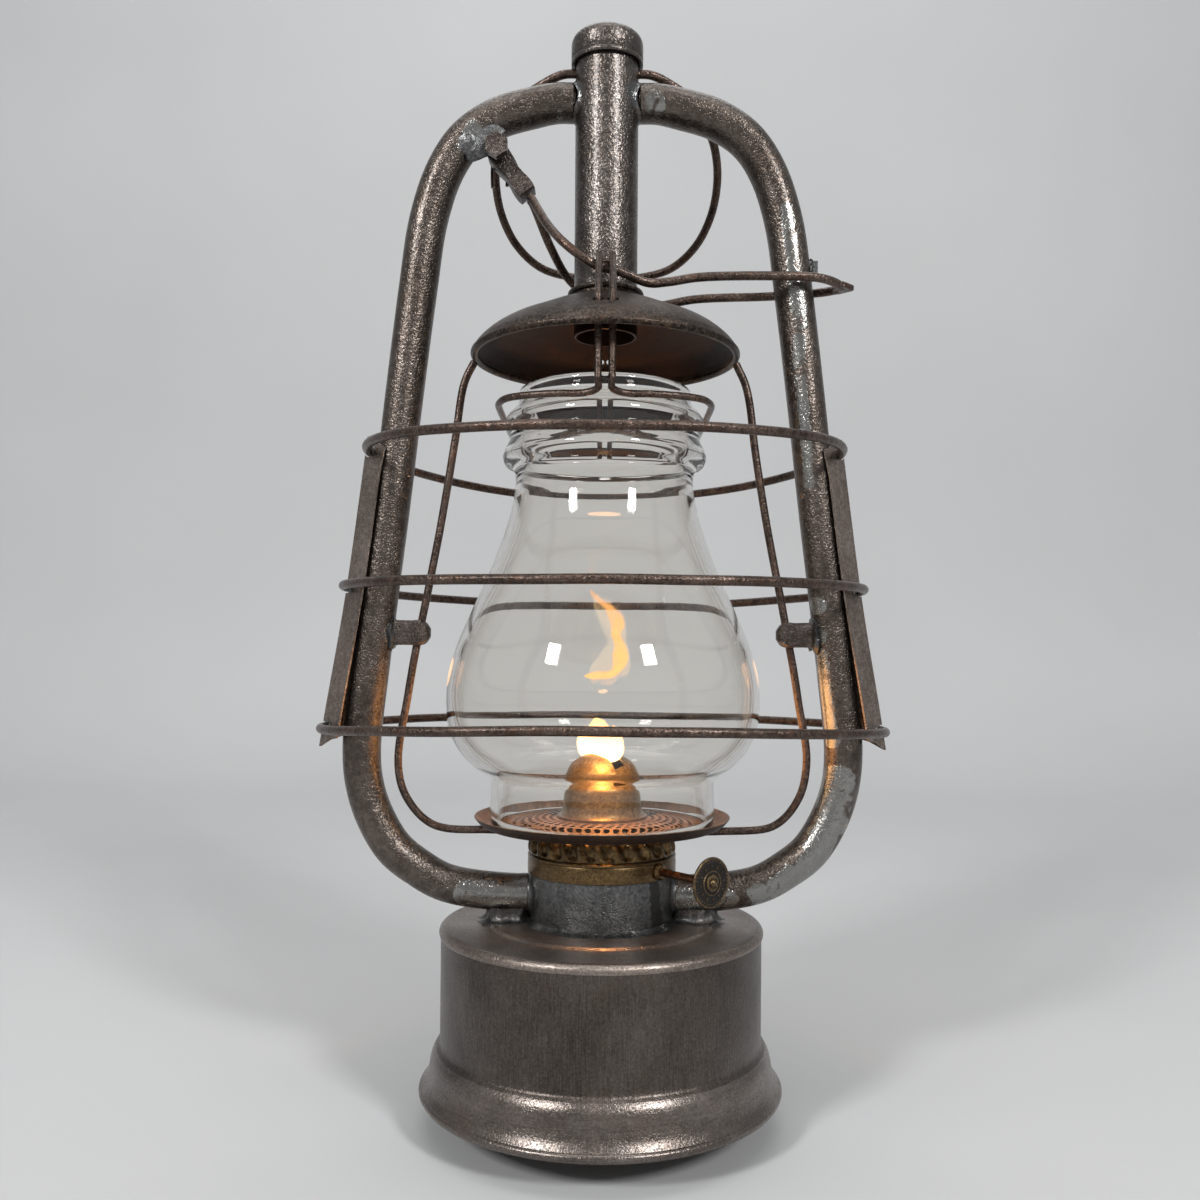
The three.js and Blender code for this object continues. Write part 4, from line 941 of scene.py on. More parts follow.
class Bench:
    """Makes pieces: gives each its finish and puts it on its body."""

    def __init__(self) -> None:
        """Starts with no materials."""
        self.materials: dict[str, bpy.types.Material] = {}

    def finish(self, finish: Finish) -> bpy.types.Material:
        """Finds the material of a finish, which is written once.

        Args:
            finish: the finish.

        Returns:
            Its material.
        """
        if finish.name not in self.materials:
            self.materials[finish.name] = finish.material()
        return self.materials[finish.name]

    def piece(self, made: bpy.types.Object, finish: Finish, body: Body, slot: Slot,
              *stands_for: str) -> None:
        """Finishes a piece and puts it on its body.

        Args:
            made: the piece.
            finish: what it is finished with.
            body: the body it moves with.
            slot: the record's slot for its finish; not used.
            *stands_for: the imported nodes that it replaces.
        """
        made.data.materials.clear()
        made.data.materials.append(self.finish(finish))
        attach(made, body.value)
        if stands_for:
            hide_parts(*stands_for)
        LOG.info("piece %s: %d faces", made.name, len(made.data.polygons))

    def line(self, piece: bpy.types.Object, finish: Finish,
             rule: Callable[[bpy.types.MeshPolygon], bool]) -> None:
        """Gives some faces of a piece a finish of their own.

        Args:
            piece: the piece.
            finish: the second finish.
            rule: says whether a face has it.
        """
        piece.data.materials.append(self.finish(finish))
        for face in piece.data.polygons:
            face.material_index = int(rule(face))

    def keep(self, node: str, finish: Finish, bevel: float) -> None:
        """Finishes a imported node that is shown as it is, with its edges broken.

        Args:
            node: the node's name.
            finish: what it is finished with.
            bevel: how far its edges are broken, in millimetres.
        """
        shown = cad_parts[node]
        shown.data.materials.clear()
        shown.data.materials.append(self.finish(finish))
        if bevel:
            edge = shown.modifiers.new("broken_edge", "BEVEL")
            edge.width = bevel * MM
            edge.segments = 2
            edge.limit_method = "ANGLE"
            edge.angle_limit = math.radians(BEVEL_FROM)
            edge.harden_normals = False
        LOG.info("node %s finished", node)


# Sub-assemblies


@dataclass
class Fount:
    """The oil tank: side with its shouldered foot, bottom and lid."""

    radius: float = 54.0
    wall: float = 0.9
    foot_top: float = 15.4
    dent_depth: float = 0.16
    foot: Sequence[Point2] = ((60.0, 2.78), (59.2, 4.0), (58.5, 5.4), (57.6, 8.4), (57.15, 11.2),
                              (56.4, 13.6), (55.3, 15.4), (54.35, 16.5), (54.0, 17.6), (54.0, 20.0))
    bench: Bench = field(default_factory=Bench)

    def build(self) -> None:
        """Makes the three pieces."""
        self._side()
        self._bottom()
        self._lid()

    def _side(self) -> None:
        """The side, which has a few shallow dents."""
        bead = arc((59.6, 1.4), 1.4, -60, 75, 8)
        upright = [(self.radius, height) for height in (30.0, 42.0, 52.6)]
        outside = [(60.3, 0.0), *bead, *flowing_profile(self.foot, 4), *upright]
        inside = offset_profile(outside[len(bead):], self.wall)[::-1]
        side = spun([*outside, *inside, (58.9, 0.0)], 128, True, self._dented).to_object("fount_side")
        self.bench.piece(side, FOUNT, Body.FRAME, Slot.STEEL, "fount_shell")
        # Faces below the foot's top take the lighter copy: a painted sheen on the flare.
        self.bench.line(side, FLARE_PAINTED_SHEEN, lambda face: face.center.z < self.foot_top * MM)

    def _dented(self, angle: float, radius: float, height: float) -> float:
        """The side's radius with its dents, which fade out towards the foot."""
        return radius + self.dent_depth * round_noise(angle, 1.6, height * 0.03) * min(1.0, height / 20)

    def _bottom(self) -> None:
        """The recessed bottom."""
        edge = [(56.6, 3.0), (57.0, 3.2), (58.1, 3.9), (57.2, 4.8), (56.0, 3.9)]
        bottom = spun([(0, 3.0), (40, 3.0), *edge, (0, 3.9)], 96).to_object("fount_underside")
        self.bench.piece(bottom, STEEL, Body.FRAME, Slot.STEEL, "fount_bottom")

    def _lid(self) -> None:
        """The lid with its rolled edge and raised middle."""
        rim = arc((52.4, 53.3), 2.15, -25, 88, 9)
        upper = [(54.3, 52.9), *rim, (49.8, 55.1), (48.5, 55.0), (40, 55.1), (38.4, 55.12), (37.7, 55.3),
                 (37.2, 55.75), (36.4, 56.0), (33, 55.98), (26.0, 55.95), (14.0, 55.95)]
        lower = [(14.0, 55.2), (36.4, 55.2), (37.4, 54.5), (50.5, 54.4), (52.2, 53.8), (52.95, 52.9)]
        lid = spun(upper + lower, 128, True).to_object("fount_lid")
        # The lid's finish is lighter for a painted sheen.
        self.bench.piece(lid, LID_PAINTED_SHEEN, Body.FRAME, Slot.STEEL, "fount_top")


@dataclass
class AirPath:
    """The side tubes, their solder, the chimney, its cap and the neck."""

    radius: float = 6.5
    girth: float = 6.47
    hammered: float = 0.06
    wide: float = 81.8
    inlet: float = 65.0
    outlet: float = 333.2
    flue: float = 10.7
    flue_bore: float = 9.9
    flue_ends: Point2 = (253.6, 351.5)
    ring_holes: float = 343.2
    soot_and_shade_top: float = 262.0
    saddle_at: Point2 = (31.6, 56.02)
    saddle: Point3 = (8.4, 6.2, 4.6)
    neck: float = 24.0
    neck_bore: float = 23.0
    shares: Sequence[Point2] = ((0.641, 0.011), (0.77, 0.032), (0.866, 0.056), (0.949, 0.099), (0.99, 0.14),
                                (1, 0.186), (0.968, 0.283), (0.929, 0.383), (0.89, 0.4765), (0.835, 0.625),
                                (0.781, 0.76), (0.737, 0.852), (0.669, 0.915), (0.581, 0.9545),
                                (0.457, 0.98), (0.312, 0.9935))
    bench: Bench = field(default_factory=Bench)

    def build(self) -> None:
        """Makes the tubes, the chimney and the neck."""
        for side, name in HANDS:
            self._tube(side, name)
            self._saddle(side, name)
        self._chimney()
        self._cap()
        self._neck()

    def _tube(self, side: int, name: str) -> None:
        """Makes one side tube with the solder at its two ends.

        Args:
            side: 1 for the right, -1 for the left.
            name: the side's name.
        """
        rise = self.outlet - self.inlet
        points = [(23.9, 0, self.inlet), (30.5, 0, self.inlet)]
        points += [(self.wide * out, 0, self.inlet + rise * up) for out, up in self.shares]
        points += [(17.2, 0, self.outlet), (10.4, 0, self.outlet)]
        made = drawn(flowing(points, 7), self._girth, 28).on_hand(side).to_object("air_tube_" + name)
        self.bench.piece(made, TUBES, Body.FRAME, Slot.STEEL, "side_tube_" + name)
        upper_seed, lower_seed = (11.0, 3.0) if side > 0 else (5.0, 7.0)
        upper = self._fillet(10.75, self.outlet, 1.5, upper_seed).on_hand(side)
        lower = self._fillet(24.05, self.inlet, 1.7, lower_seed).on_hand(side)
        self.bench.piece(upper.to_object("chimney_solder_" + name), CHIMNEY, Body.FRAME, Slot.SOLDER)
        self.bench.piece(lower.to_object("neck_solder_" + name), SOLDERED, Body.FRAME, Slot.SOLDER)

    def _girth(self, share: float) -> Point2:
        """The tube's two half-widths, a little uneven, at a share of its length."""
        return (self.girth + self.hammered * math.sin(share * 37),
                self.girth + self.hammered * math.cos(share * 29))

    def _fillet(self, wall_radius: float, height: float, reach: float, seed: float) -> Shell:
        """A fillet of solder where a side tube meets an upright round wall.

        Args:
            wall_radius: the wall's radius.
            height: the tube's height there.
            reach: how far the solder runs out.
            seed: a number that picks how uneven it is.

        Returns:
            The fillet's shell.
        """
        shell = Shell()
        steps, rows = 48, 7
        for i in range(steps):
            angle = TAU * i / steps
            spread = reach * (1 + 0.45 * round_noise(angle, 1.5, seed))
            for j in range(rows):
                turn = j / (rows - 1) * math.pi / 2
                out = self.radius - 0.25 + spread * (1 - math.sin(turn))
                y, z = out * math.cos(angle), out * math.sin(angle)
                wall = math.sqrt(max(wall_radius**2 - min(abs(y), wall_radius) ** 2, 0.0))
                shell.points.append(Vector((wall - 0.1 + spread * (1 - math.cos(turn)), y, height + z)))
        shell.join_columns(steps, rows)
        return shell

    def _saddle(self, side: int, name: str) -> None:
        """Makes the solder that carries a tube on the lid.

        Args:
            side: 1 for the right, -1 for the left.
            name: the side's name.
        """
        lump = [(1.2, 0), (1.06, 0.05), (0.97, 0.16), (0.92, 0.36), (0.92, 0.65), (0.98, 1.0), (0.0, 1.0)]
        (off, base), (long, wide, tall) = self.saddle_at, self.saddle
        seed = 4.0 * side

        def place(point: Vector) -> Vector:
            """Where a point of the round lump comes to lie."""
            uneven = 1 + 0.2 * noise.noise(Vector((point.x * 2 + seed, point.y * 2, point.z)))
            return Vector((side * off + point.x * long * uneven, point.y * wide * uneven,
                           base + point.z * tall))

        made = spun(lump, 48).bent(place).to_object("saddle_solder_" + name)
        self.bench.piece(made, SADDLE, Body.FRAME, Slot.SOLDER, "tube_saddle_" + name)

    def _chimney(self) -> None:
        """The chimney tube with its two ring holes."""
        low, high = self.flue_ends
        outside = [(10.45, low), (self.flue, 253.85), (self.flue, 262), (self.flue, 300), (self.flue, high)]
        inside = [(self.flue_bore, height) for height in (high, 300, low)]
        tube = spun(outside + inside, 72, True).to_object("chimney")
        hole = peg((-16, 0, self.ring_holes), (16, 0, self.ring_holes), 2.0)
        carve(tube, [hole.to_object("hole")])
        self.bench.piece(tube, CHIMNEY, Body.FRAME, Slot.STEEL, "chimney_tube")
        # Bore faces and those down in the hood take the dark finish: soot with painted shade.
        self.bench.line(tube, SOOT_AND_PAINTED_SHADE, self._sooty_and_shaded)

    def _sooty_and_shaded(self, face: bpy.types.MeshPolygon) -> bool:
        """Whether a face of the chimney looks into its bore or is down in the hood: these get soot with
        painted shade.
        """
        inward = face.normal.x * face.center.x + face.normal.y * face.center.y < 0
        return inward or face.center.z < self.soot_and_shade_top * MM

    def _cap(self) -> None:
        """The cap, with a line where its skirt is folded."""
        crown = [(0.0, 357.0), (4.0, 356.7), (6.5, 356.2)]
        shoulder = arc((8.5, 352.1), 3.7, 0, 78, 9)[::-1]
        skirt = [(12.2, 351.0), (12.2, 347.4), (12.02, 347.15), (12.2, 346.9), (12.2, 345.8), (12.0, 345.5),
                 (11.4, 345.5)]
        inside = [(11.0, 345.8), (11.0, 351.5), (8.0, 354.4), (0.0, 355.6)]
        cap = spun([*crown, *shoulder, *skirt, *inside], 72)
        self.bench.piece(cap.to_object("chimney_cap_dome"), CHIMNEY, Body.FRAME, Slot.STEEL, "chimney_cap")

    def _neck(self) -> None:
        """The neck with the solder run round its foot."""
        heights = (56.3, 65, 73.9)
        outside = [(self.neck, height) for height in heights]
        inside = [(self.neck_bore, height) for height in reversed(heights)]
        neck = spun(outside + inside, 96, True)
        self.bench.piece(neck.to_object("neck"), NECK, Body.FRAME, Slot.SOLDER, "burner_neck")

        def uneven(angle: float, radius: float, height: float) -> float:
            """The solder's radius, which strays the more the further out it runs."""
            return radius + (radius - 23.9) * 0.9 * round_noise(angle, 3, 2.0)

        profile = [(23.95, 57.5), (24.3, 57.1), (24.7, 56.6), (25.4, 56.2), (25.6, 56.0), (23.95, 56.0)]
        run = spun(profile, 96, True, uneven)
        self.bench.piece(run.to_object("neck_foot_solder"), SOLDERED, Body.FRAME, Slot.SOLDER)


@dataclass
class Burner:
    """The brass burner: cap, crimped gallery, wick tube, spindle, knob and cone."""

    azimuth: float = WICK_AZIMUTH
    wick_off: float = -1.2
    spindle_height: float = 75.6
    spindle_off: float = 2.6
    spindle_radius: float = 1.27
    knob_at: float = 47.0
    flutes: int = 26
    flute_depth: float = 1.5
    beads: int = 36
    ticks: int = 12
    bench: Bench = field(default_factory=Bench)

    def build(self) -> None:
        """Makes the burner's pieces."""
        self._cap()
        self._gallery()
        self._spindle()
        self._knob()
        for node in ("wick_tube", "feed_wheel_outer", "feed_wheel_inner", "spindle_gland"):
            self.bench.keep(node, CAP_BRASS, 0.1)
        self.bench.keep("wick", Cotton(), 0.3)
        self._cone()

    def _on_spindle(self, along: float) -> Matrix:
        """Finds where a piece modelled upright goes on the spindle's line.

        Args:
            along: how far from the lantern's axis.

        Returns:
            The matrix that places it.
        """
        run = Vector((math.sin(self.azimuth), -math.cos(self.azimuth), 0))
        across = Vector((math.cos(self.azimuth), math.sin(self.azimuth), 0))
        spot = run * along + across * self.spindle_off + Vector((0, 0, self.spindle_height))
        return Matrix.Translation(spot) @ Z_AXIS.rotation_difference(run).to_matrix().to_4x4()

    def _wick_slot(self, wide: float, long: float, low: float, high: float) -> bpy.types.Object:
        """Makes a cutter for the slot that the wick passes.

        Args:
            wide: half its width.
            long: half its length.
            low: the height that it starts from.
            high: the height that it ends at.

        Returns:
            The cutter.
        """
        box = plate([(-wide, -long), (wide, -long), (wide, long), (-wide, long)], low, high)
        turn = Matrix.Rotation(self.azimuth, 4, "Z") @ Matrix.Translation((self.wick_off, 0, 0))
        return box.moved(turn).to_object("slot")

    def _cap(self) -> None:
        """The cap's smooth band and deck."""
        deck = [(0.0, 79.2), (22.6, 79.2), (23.6, 79.2)]
        band = [(24.2, 78.9), (24.75, 79.1), (25.1, 78.7), (25.1, 78.2), (24.85, 77.9), (25.0, 77.6),
                (25.1, 76.5), (25.1, 73.2), (25.05, 72.7), (24.8, 72.5)]
        inside = [(24.3, 72.5), (24.3, 78.2), (22.0, 78.4), (0.0, 78.4)]
        cap = spun(deck + band + inside, 96).to_object("cap_band")
        bore = peg((0, 0, -4), (0, 0, 4), 2.2).moved(self._on_spindle(25))
        carve(cap, [self._wick_slot(2.4, 10.6, 76, 82), bore.to_object("bore")])
        self.bench.piece(cap, CAP_BRASS, Body.FRAME, Slot.BRASS, "burner_cap")

    def _gallery(self) -> None:
        """The crimped gallery: flutes that fade into a plain collar."""
        line = flowing_profile([(24.7, 79.5), (25.0, 80.3), (25.0, 82.0), (24.5, 83.8), (23.4, 85.4),
                                (22.0, 86.6), (21.4, 87.6), (21.2, 89.6)], 4)
        gallery = spun(sheet_profile(line, 0.7), self.flutes * 12, True, self._fluted)
        self.bench.piece(gallery.to_object("crimped_gallery"), GALLERY_BRASS, Body.FRAME, Slot.BRASS,
                         "burner_gallery")

    def _fluted(self, angle: float, radius: float, height: float) -> float:
        """Presses the flutes, which lean a little and fade at both ends.

        Args:
            angle: direction round the axis.
            radius: the plain radius there, in millimetres.
            height: height above the table, in millimetres.

        Returns:
            The radius with its flute.
        """
        share = max(0.0, min(1.0, (height - 79.6) / 1.4, (89.0 - height) / 3.0))
        wave = 0.5 + 0.5 * math.cos(self.flutes * angle + (height - 79) * 0.3)
        return radius - self.flute_depth * share * wave

    def _spindle(self) -> None:
        """The spindle."""
        line = [Vector((0, 0, z)) for z in (-9, 0, 12, 24, 30, 36, 42, 47, 49.0)]
        rod = drawn(line, self.spindle_radius, 20, up=X_AXIS).moved(self._on_spindle(0))
        self.bench.piece(rod.to_object("spindle_rod"), SPINDLE, Body.SPINDLE, Slot.BRASS, "wick_spindle")

    def _knob(self) -> None:
        """The knob: dark recess, raised trim and rivet."""
        place = self._on_spindle(self.knob_at)
        disc = spun([(0, 0.1), (6.6, 0.1), (7.4, 0.3), (7.6, 1.0), (7.5, 1.55), (6.9, 1.6), (0, 1.6)], 72)
        made = disc.moved(place).to_object("knob_disc")
        self.bench.piece(made, KNOB_DARK, Body.SPINDLE, Slot.BRASS, "wick_knob")
        trim = self._knob_trim().moved(place).to_object("knob_trim")
        self.bench.piece(trim, KNOB_BRASS, Body.SPINDLE, Slot.BRASS)
        rivet = spun([(0.0, 3.1), (0.6, 3.0), (1.1, 2.7), (1.3, 2.3), (1.3, 2.15), (0, 2.15)], 32)
        made = rivet.moved(place).to_object("knob_rivet_head")
        self.bench.piece(made, KNOB_BRASS, Body.SPINDLE, Slot.BRASS, "knob_rivet")

    def _knob_trim(self) -> Shell:
        """Makes the knob's raised rim, inner ring and boss, its beads and its short ticks.

        Returns:
            The trim's shell, with the knob's back at height 0.
        """
        trim = spun(arc((7.45, 1.15), 0.55, -180, 180, 12)[:-1], 80, True)
        trim.add(spun(arc((3.7, 1.62), 0.24, -180, 180, 8)[:-1], 60, True))
        trim.add(spun([(2.7, 1.55), (2.6, 1.95), (2.2, 2.15), (1.8, 2.1), (1.75, 1.9), (0, 1.9)], 48))
        bead_at, bead_radius, tick_at, half_wide = 6.65, 0.2, 5.2, 0.16
        quarter = [math.pi / 2 * i / 4 for i in range(5)]
        bead = spun([(bead_radius * math.cos(a), bead_radius * math.sin(a)) for a in quarter], 10)
        for i in range(self.beads):
            angle = TAU * i / self.beads
            spot = (bead_at * math.cos(angle), bead_at * math.sin(angle), 1.62)
            trim.add(bead.moved(Matrix.Translation(spot)))
        for i in range(self.ticks):
            angle = TAU * (i + 0.5) / self.ticks
            half = (0.9 if i % 3 else 1.3) / 2
            tick = plate([(-half_wide, -half), (half_wide, -half), (half_wide, half), (-half_wide, half)],
                         1.55, 1.85, 0.08)
            turn = Matrix.Rotation(angle - QUARTER_TURN, 4, "Z")
            trim.add(tick.moved(turn @ Matrix.Translation((0, tick_at, 0))))
        return trim

    def _cone(self) -> None:
        """The slotted cone that rises with the cage."""
        dome = [(12.7 * math.cos(math.radians(a)), 101.5 + 11 * math.sin(math.radians(a)))
                for a in range(0, 86, 7)]
        outside = [(15.2, 91.3), (15.2, 91.75), (14.1, 91.8), (13.65, 92.3), (13.4, 94), (12.95, 99), *dome,
                   (0, 112.5)]
        lining = [(radius * 0.95, height - 0.55) for radius, height in dome[-2::-1]]
        inside = [(0, 111.9), *lining, (12.8, 92.2), (13.2, 91.1), (15.2, 91.1)]
        cone = spun(outside + inside, 72, True).to_object("draught_cone")
        carve(cone, [self._wick_slot(2.5, 10.5, 102.1, 116)])
        self.bench.piece(cone, CONE_BRASS, Body.CAGE, Slot.BRASS, "burner_cone")


@dataclass
class Flame:
    """The burning wick: a bright foot and a torn tongue above it."""

    azimuth: float = WICK_AZIMUTH
    wick_off: float = -1.2
    foot_low: float = 108.0
    foot_rise: float = 15.4
    foot_thick: Point2 = (4.4, 1.8)
    foot_wide: Point2 = (12.4, 2.0)
    spine: Sequence[Point2] = ((-6.3, 138.6), (-2, 138.9), (3.2, 139.6), (5.4, 143), (5.8, 148),
                               (4.4, 152.6), (4.6, 157), (1.8, 161.5), (-2.2, 164.6), (-4.8, 167.6))
    bench: Bench = field(default_factory=Bench)

    def build(self) -> None:
        """Makes the two parts of the flame."""
        turn = Matrix.Rotation(self.azimuth, 4, "Z")
        foot = ball(16, 40).bent(self._foot_shape).moved(turn).to_object("flame_foot")
        self.bench.piece(foot, FOOT_GLOW, Body.FRAME, Slot.COTTON)
        line = flowing([(x, 0, z) for x, z in self.spine], 6)
        tongue = drawn(line, self._tongue_width, 16).to_object("flame_tongue")
        self.bench.piece(tongue, TONGUE_GLOW, Body.FRAME, Slot.COTTON)

    def _foot_shape(self, point: Vector) -> Vector:
        """Shapes the foot out of a ball: broad on the wick, thin and torn above.

        Args:
            point: a point of the ball.

        Returns:
            Where the point comes to lie.
        """
        rise = (point.z + 1) / 2
        torn = 1 + 0.08 * math.sin(point.y * 8 + 1) * rise
        squared = math.copysign(abs(point.y) ** 0.7, point.y)
        (thick, thins), (wide, narrows) = self.foot_thick, self.foot_wide
        return Vector((point.x * (thick - thins * rise) + self.wick_off, squared * (wide - narrows * rise),
                       self.foot_low + self.foot_rise * rise * torn))

    @staticmethod
    def _tongue_width(share: float) -> Point2:
        """The tongue's two half-widths at a share of its length."""
        body = math.sin(share * math.pi) ** 0.6
        return (0.4 + 1.6 * body, 0.25 + (2.3 + 0.6 * math.sin(share * 21)) * body)


@dataclass
class Cage:
    """What lifts: hood, collar, plate, cage wires and globe."""

    rim: float = 246.9
    hood_wall: float = 0.8
    soot_and_shade_from: float = 248.3
    wire_holes: Point2 = (2.2, 36.7)
    disc_edge: float = 31.5
    plate_wall: float = 0.45
    hole_share: float = 0.36
    hole_half: float = 0.86
    hole_pitch: float = 3.1
    hole_rows: Sequence[float] = (11.4, 16.2, 18.6, 21.0, 23.4, 25.8, 28.2, 31.5)
    wire: float = 1.33
    bow: Sequence[Point2] = ((44.4, 245.3), (47.9, 237.7), (50.9, 218.15), (53.9, 198.6), (66.5, 130.6),
                             (69.4, 108.5), (66.3, 96.6), (57.8, 87.9), (38.6, 86.15), (33.5, 86.15))
    bulge: float = 52.85
    globe_foot: float = 88.9
    globe_height: float = 146.2
    globe_wall: float = 2.3
    globe_body: Sequence[Point2] = ((0.716, 0.012), (0.716, 0.06), (0.717, 0.1), (0.745, 0.114),
                                    (0.836, 0.137), (0.924, 0.173), (0.981, 0.219), (1, 0.288),
                                    (0.985, 0.344), (0.943, 0.401), (0.881, 0.458), (0.722, 0.586),
                                    (0.609, 0.702), (0.573, 0.77))
    globe_neck: Sequence[Point2] = ((0.571, 0.801), (0.585, 0.814), (0.635, 0.827), (0.652, 0.844),
                                    (0.637, 0.862), (0.61, 0.885), (0.63, 0.904), (0.641, 0.919),
                                    (0.622, 0.938), (0.574, 0.956), (0.554, 0.97), (0.551, 0.985))
    bench: Bench = field(default_factory=Bench)

    def build(self) -> None:
        """Makes the cage's pieces."""
        self._hood()
        self._collar()
        self._plate()
        self._wires()
        self._globe()

    def _hood(self) -> None:
        """The hood with its rolled rim and four wire holes."""
        outside = flowing_profile([(44.9, 248.0), (43.46, 250.0), (40.0, 253.2), (35.2, 256.3),
                                   (28.3, 259.4), (20.2, 263.0), (12.3, 266.1)], 6)
        bead = arc((44.25, self.rim), 1.3, 170, 385, 14)
        profile = bead + sheet_profile(outside, self.hood_wall)
        hood = spun(profile, 128, True, self._dented).to_object("hood_dome")
        across, out = self.wire_holes
        carve(hood, [peg((x, y, 246), (x, y, 264), 1.9, 20).to_object("hole")
                     for x in (-across, across) for y in (-out, out)])
        self.bench.piece(hood, HOOD, Body.CAGE, Slot.STEEL, "hood")
        # Downward faces take the dark finish: soot with painted shade.
        self.bench.line(hood, SOOT_AND_PAINTED_SHADE, self._sooty_and_shaded)

    @staticmethod
    def _dented(angle: float, radius: float, height: float) -> float:
        """The hood's radius with its dents, which fade out towards the collar."""
        return radius + 0.25 * round_noise(angle, 1.3, radius * 0.04) * min(1.0, (radius - 12) / 20)

    def _sooty_and_shaded(self, face: bpy.types.MeshPolygon) -> bool:
        """Whether a face of the hood looks down, above the rolled rim: these get soot with painted shade."""
        return face.normal.z < -0.1 and face.center.z > self.soot_and_shade_from * MM

    def _collar(self) -> None:
        """The collar with its bead."""
        bead = arc((12.0, 268.1), 0.9, -90, 90, 8)
        collar = spun([(11.2, 261), (12.0, 261), (12.0, 266.4), *bead, (11.2, 269)], 64, True)
        self.bench.piece(collar.to_object("collar"), HOOD, Body.CAGE, Slot.STEEL, "hood_collar")

    def _plate(self) -> None:
        """The pierced dish: rows of small holes, a sunken seat and a flared rim."""
        seat = self._dish(self.disc_edge)
        over = [(self.disc_edge, seat), (33.48, 88.6), (38.58, 88.6), (40.2, 89.15), (41.8, 90.4),
                (42.85, 91.5), (43.1, 91.6), (43.17, 91.35)]
        under = [(42.9, 90.9), (41.9, 89.7), (40.5, 88.5), (38.8, 87.8), (33.4, 87.8),
                 (self.disc_edge, seat - 0.8)]
        made = spun(over + under, 96, True).add(self._pierced()).to_object("pierced_plate")
        self.bench.piece(made, PLATE, Body.CAGE, Slot.PLATE, "globe_plate")
        # Downward faces and hole walls take the darker finish: painted shade.
        self.bench.line(made, PLATE_PAINTED_SHADE, self._shaded)

    @staticmethod
    def _shaded(face: bpy.types.MeshPolygon) -> bool:
        """Whether a face of the plate looks down, or is the wall of a hole: these get the darker painted
        shade.
        """
        pierced = math.hypot(face.center.x, face.center.y) < 31 * MM
        return face.normal.z < -0.3 or (pierced and face.normal.z < 0.5)

    @staticmethod
    def _dish(radius: float) -> float:
        """The height of the plate's upper face at a radius."""
        return 90.8 - 2.2 * max(0.0, min(1.0, (radius - 22.5) / 11))

    def _pierced(self) -> Shell:
        """Makes the plate's disc, cell by cell, each cell with an oblong hole.

        Returns:
            The disc's shell.
        """
        shell = Shell()
        for row, (inner, outer) in enumerate(zip(self.hole_rows, self.hole_rows[1:])):
            cells = int(TAU * outer / self.hole_pitch)
            for cell in range(cells):
                start, step = TAU * (cell + row % 2 / 2) / cells, TAU / cells
                self._cell(shell, (inner, outer), (start, start + step), row > 0)
        return shell

    def _cell(self, shell: Shell, reach: Point2, turn: Point2, holed: bool) -> None:
        """Adds one cell of the disc, both faces of it.

        Args:
            shell: the disc so far.
            reach: its inner and outer radii.
            turn: its two angles.
            holed: whether it has a hole.
        """
        (inner, outer), (start, end) = reach, turn
        middle, half, wide = (inner + outer) / 2, (start + end) / 2, (end - start) * self.hole_share
        corners = [(inner, start), (inner, half), (inner, end), (middle, end), (outer, end), (outer, half),
                   (outer, start), (middle, start)]
        hole = [(middle + self.hole_half * math.sin(angle), half + wide * math.cos(angle))
                for angle in (math.radians(225 + 45 * k) for k in range(8))]
        top = len(shell.points)
        low = top + 16
        for drop in (0.0, self.plate_wall):
            shell.points += [Vector((r * math.cos(a), r * math.sin(a), self._dish(r) - drop))
                             for r, a in corners + hole]
        if not holed:
            shell.faces += [tuple(range(top, top + 8)), tuple(range(low + 7, low - 1, -1))]
            return
        for k in range(8):
            n = (k + 1) % 8
            shell.faces += [(top + k, top + n, top + 8 + n, top + 8 + k),
                            (low + n, low + k, low + 8 + k, low + 8 + n),
                            (top + 8 + k, top + 8 + n, low + 8 + n, low + 8 + k)]

    def _wires(self) -> None:
        """The two bowed wires from the hood's rim to the plate."""
        line = flowing([(x, 0, z) for x, z in self.bow], 10)
        for side, name in HANDS:
            wire = drawn(hand_made(line, 0.25, 3.0 * side), self.wire, 14).on_hand(side)
            made = wire.to_object("bowed_wire_" + name)
            self.bench.piece(made, WIRE, Body.CAGE, Slot.WIRE, "cage_wire_" + name)

    def _globe(self) -> None:
        """The glass, thick at its beads and rims."""
        shares = (*self.globe_body, *self.globe_neck)
        outer = flowing_profile([(out * self.bulge, self.globe_foot + up * self.globe_height)
                                 for out, up in shares], 5)
        shoulder = offset_profile(outer[:5 * (len(self.globe_body) - 1)], self.globe_wall)
        bore = flowing_profile([(27.8, 207), (28.3, 213), (28.0, 219), (28.0, 224), (27.1, 229.5),
                                (26.8, 233.0)], 4)
        lip = arc((27.9, 233.9), 1.2, 0, 180, 8)
        foot = arc((36.65, 90.1), 1.15, 200, 340, 6)
        profile = foot + outer[1:] + lip + (shoulder + bore)[:0:-1]
        globe = spun(profile, 144, True).to_object("glass_globe", 50)
        self.bench.piece(globe, Glass(), Body.CAGE, Slot.GLASS, "globe")


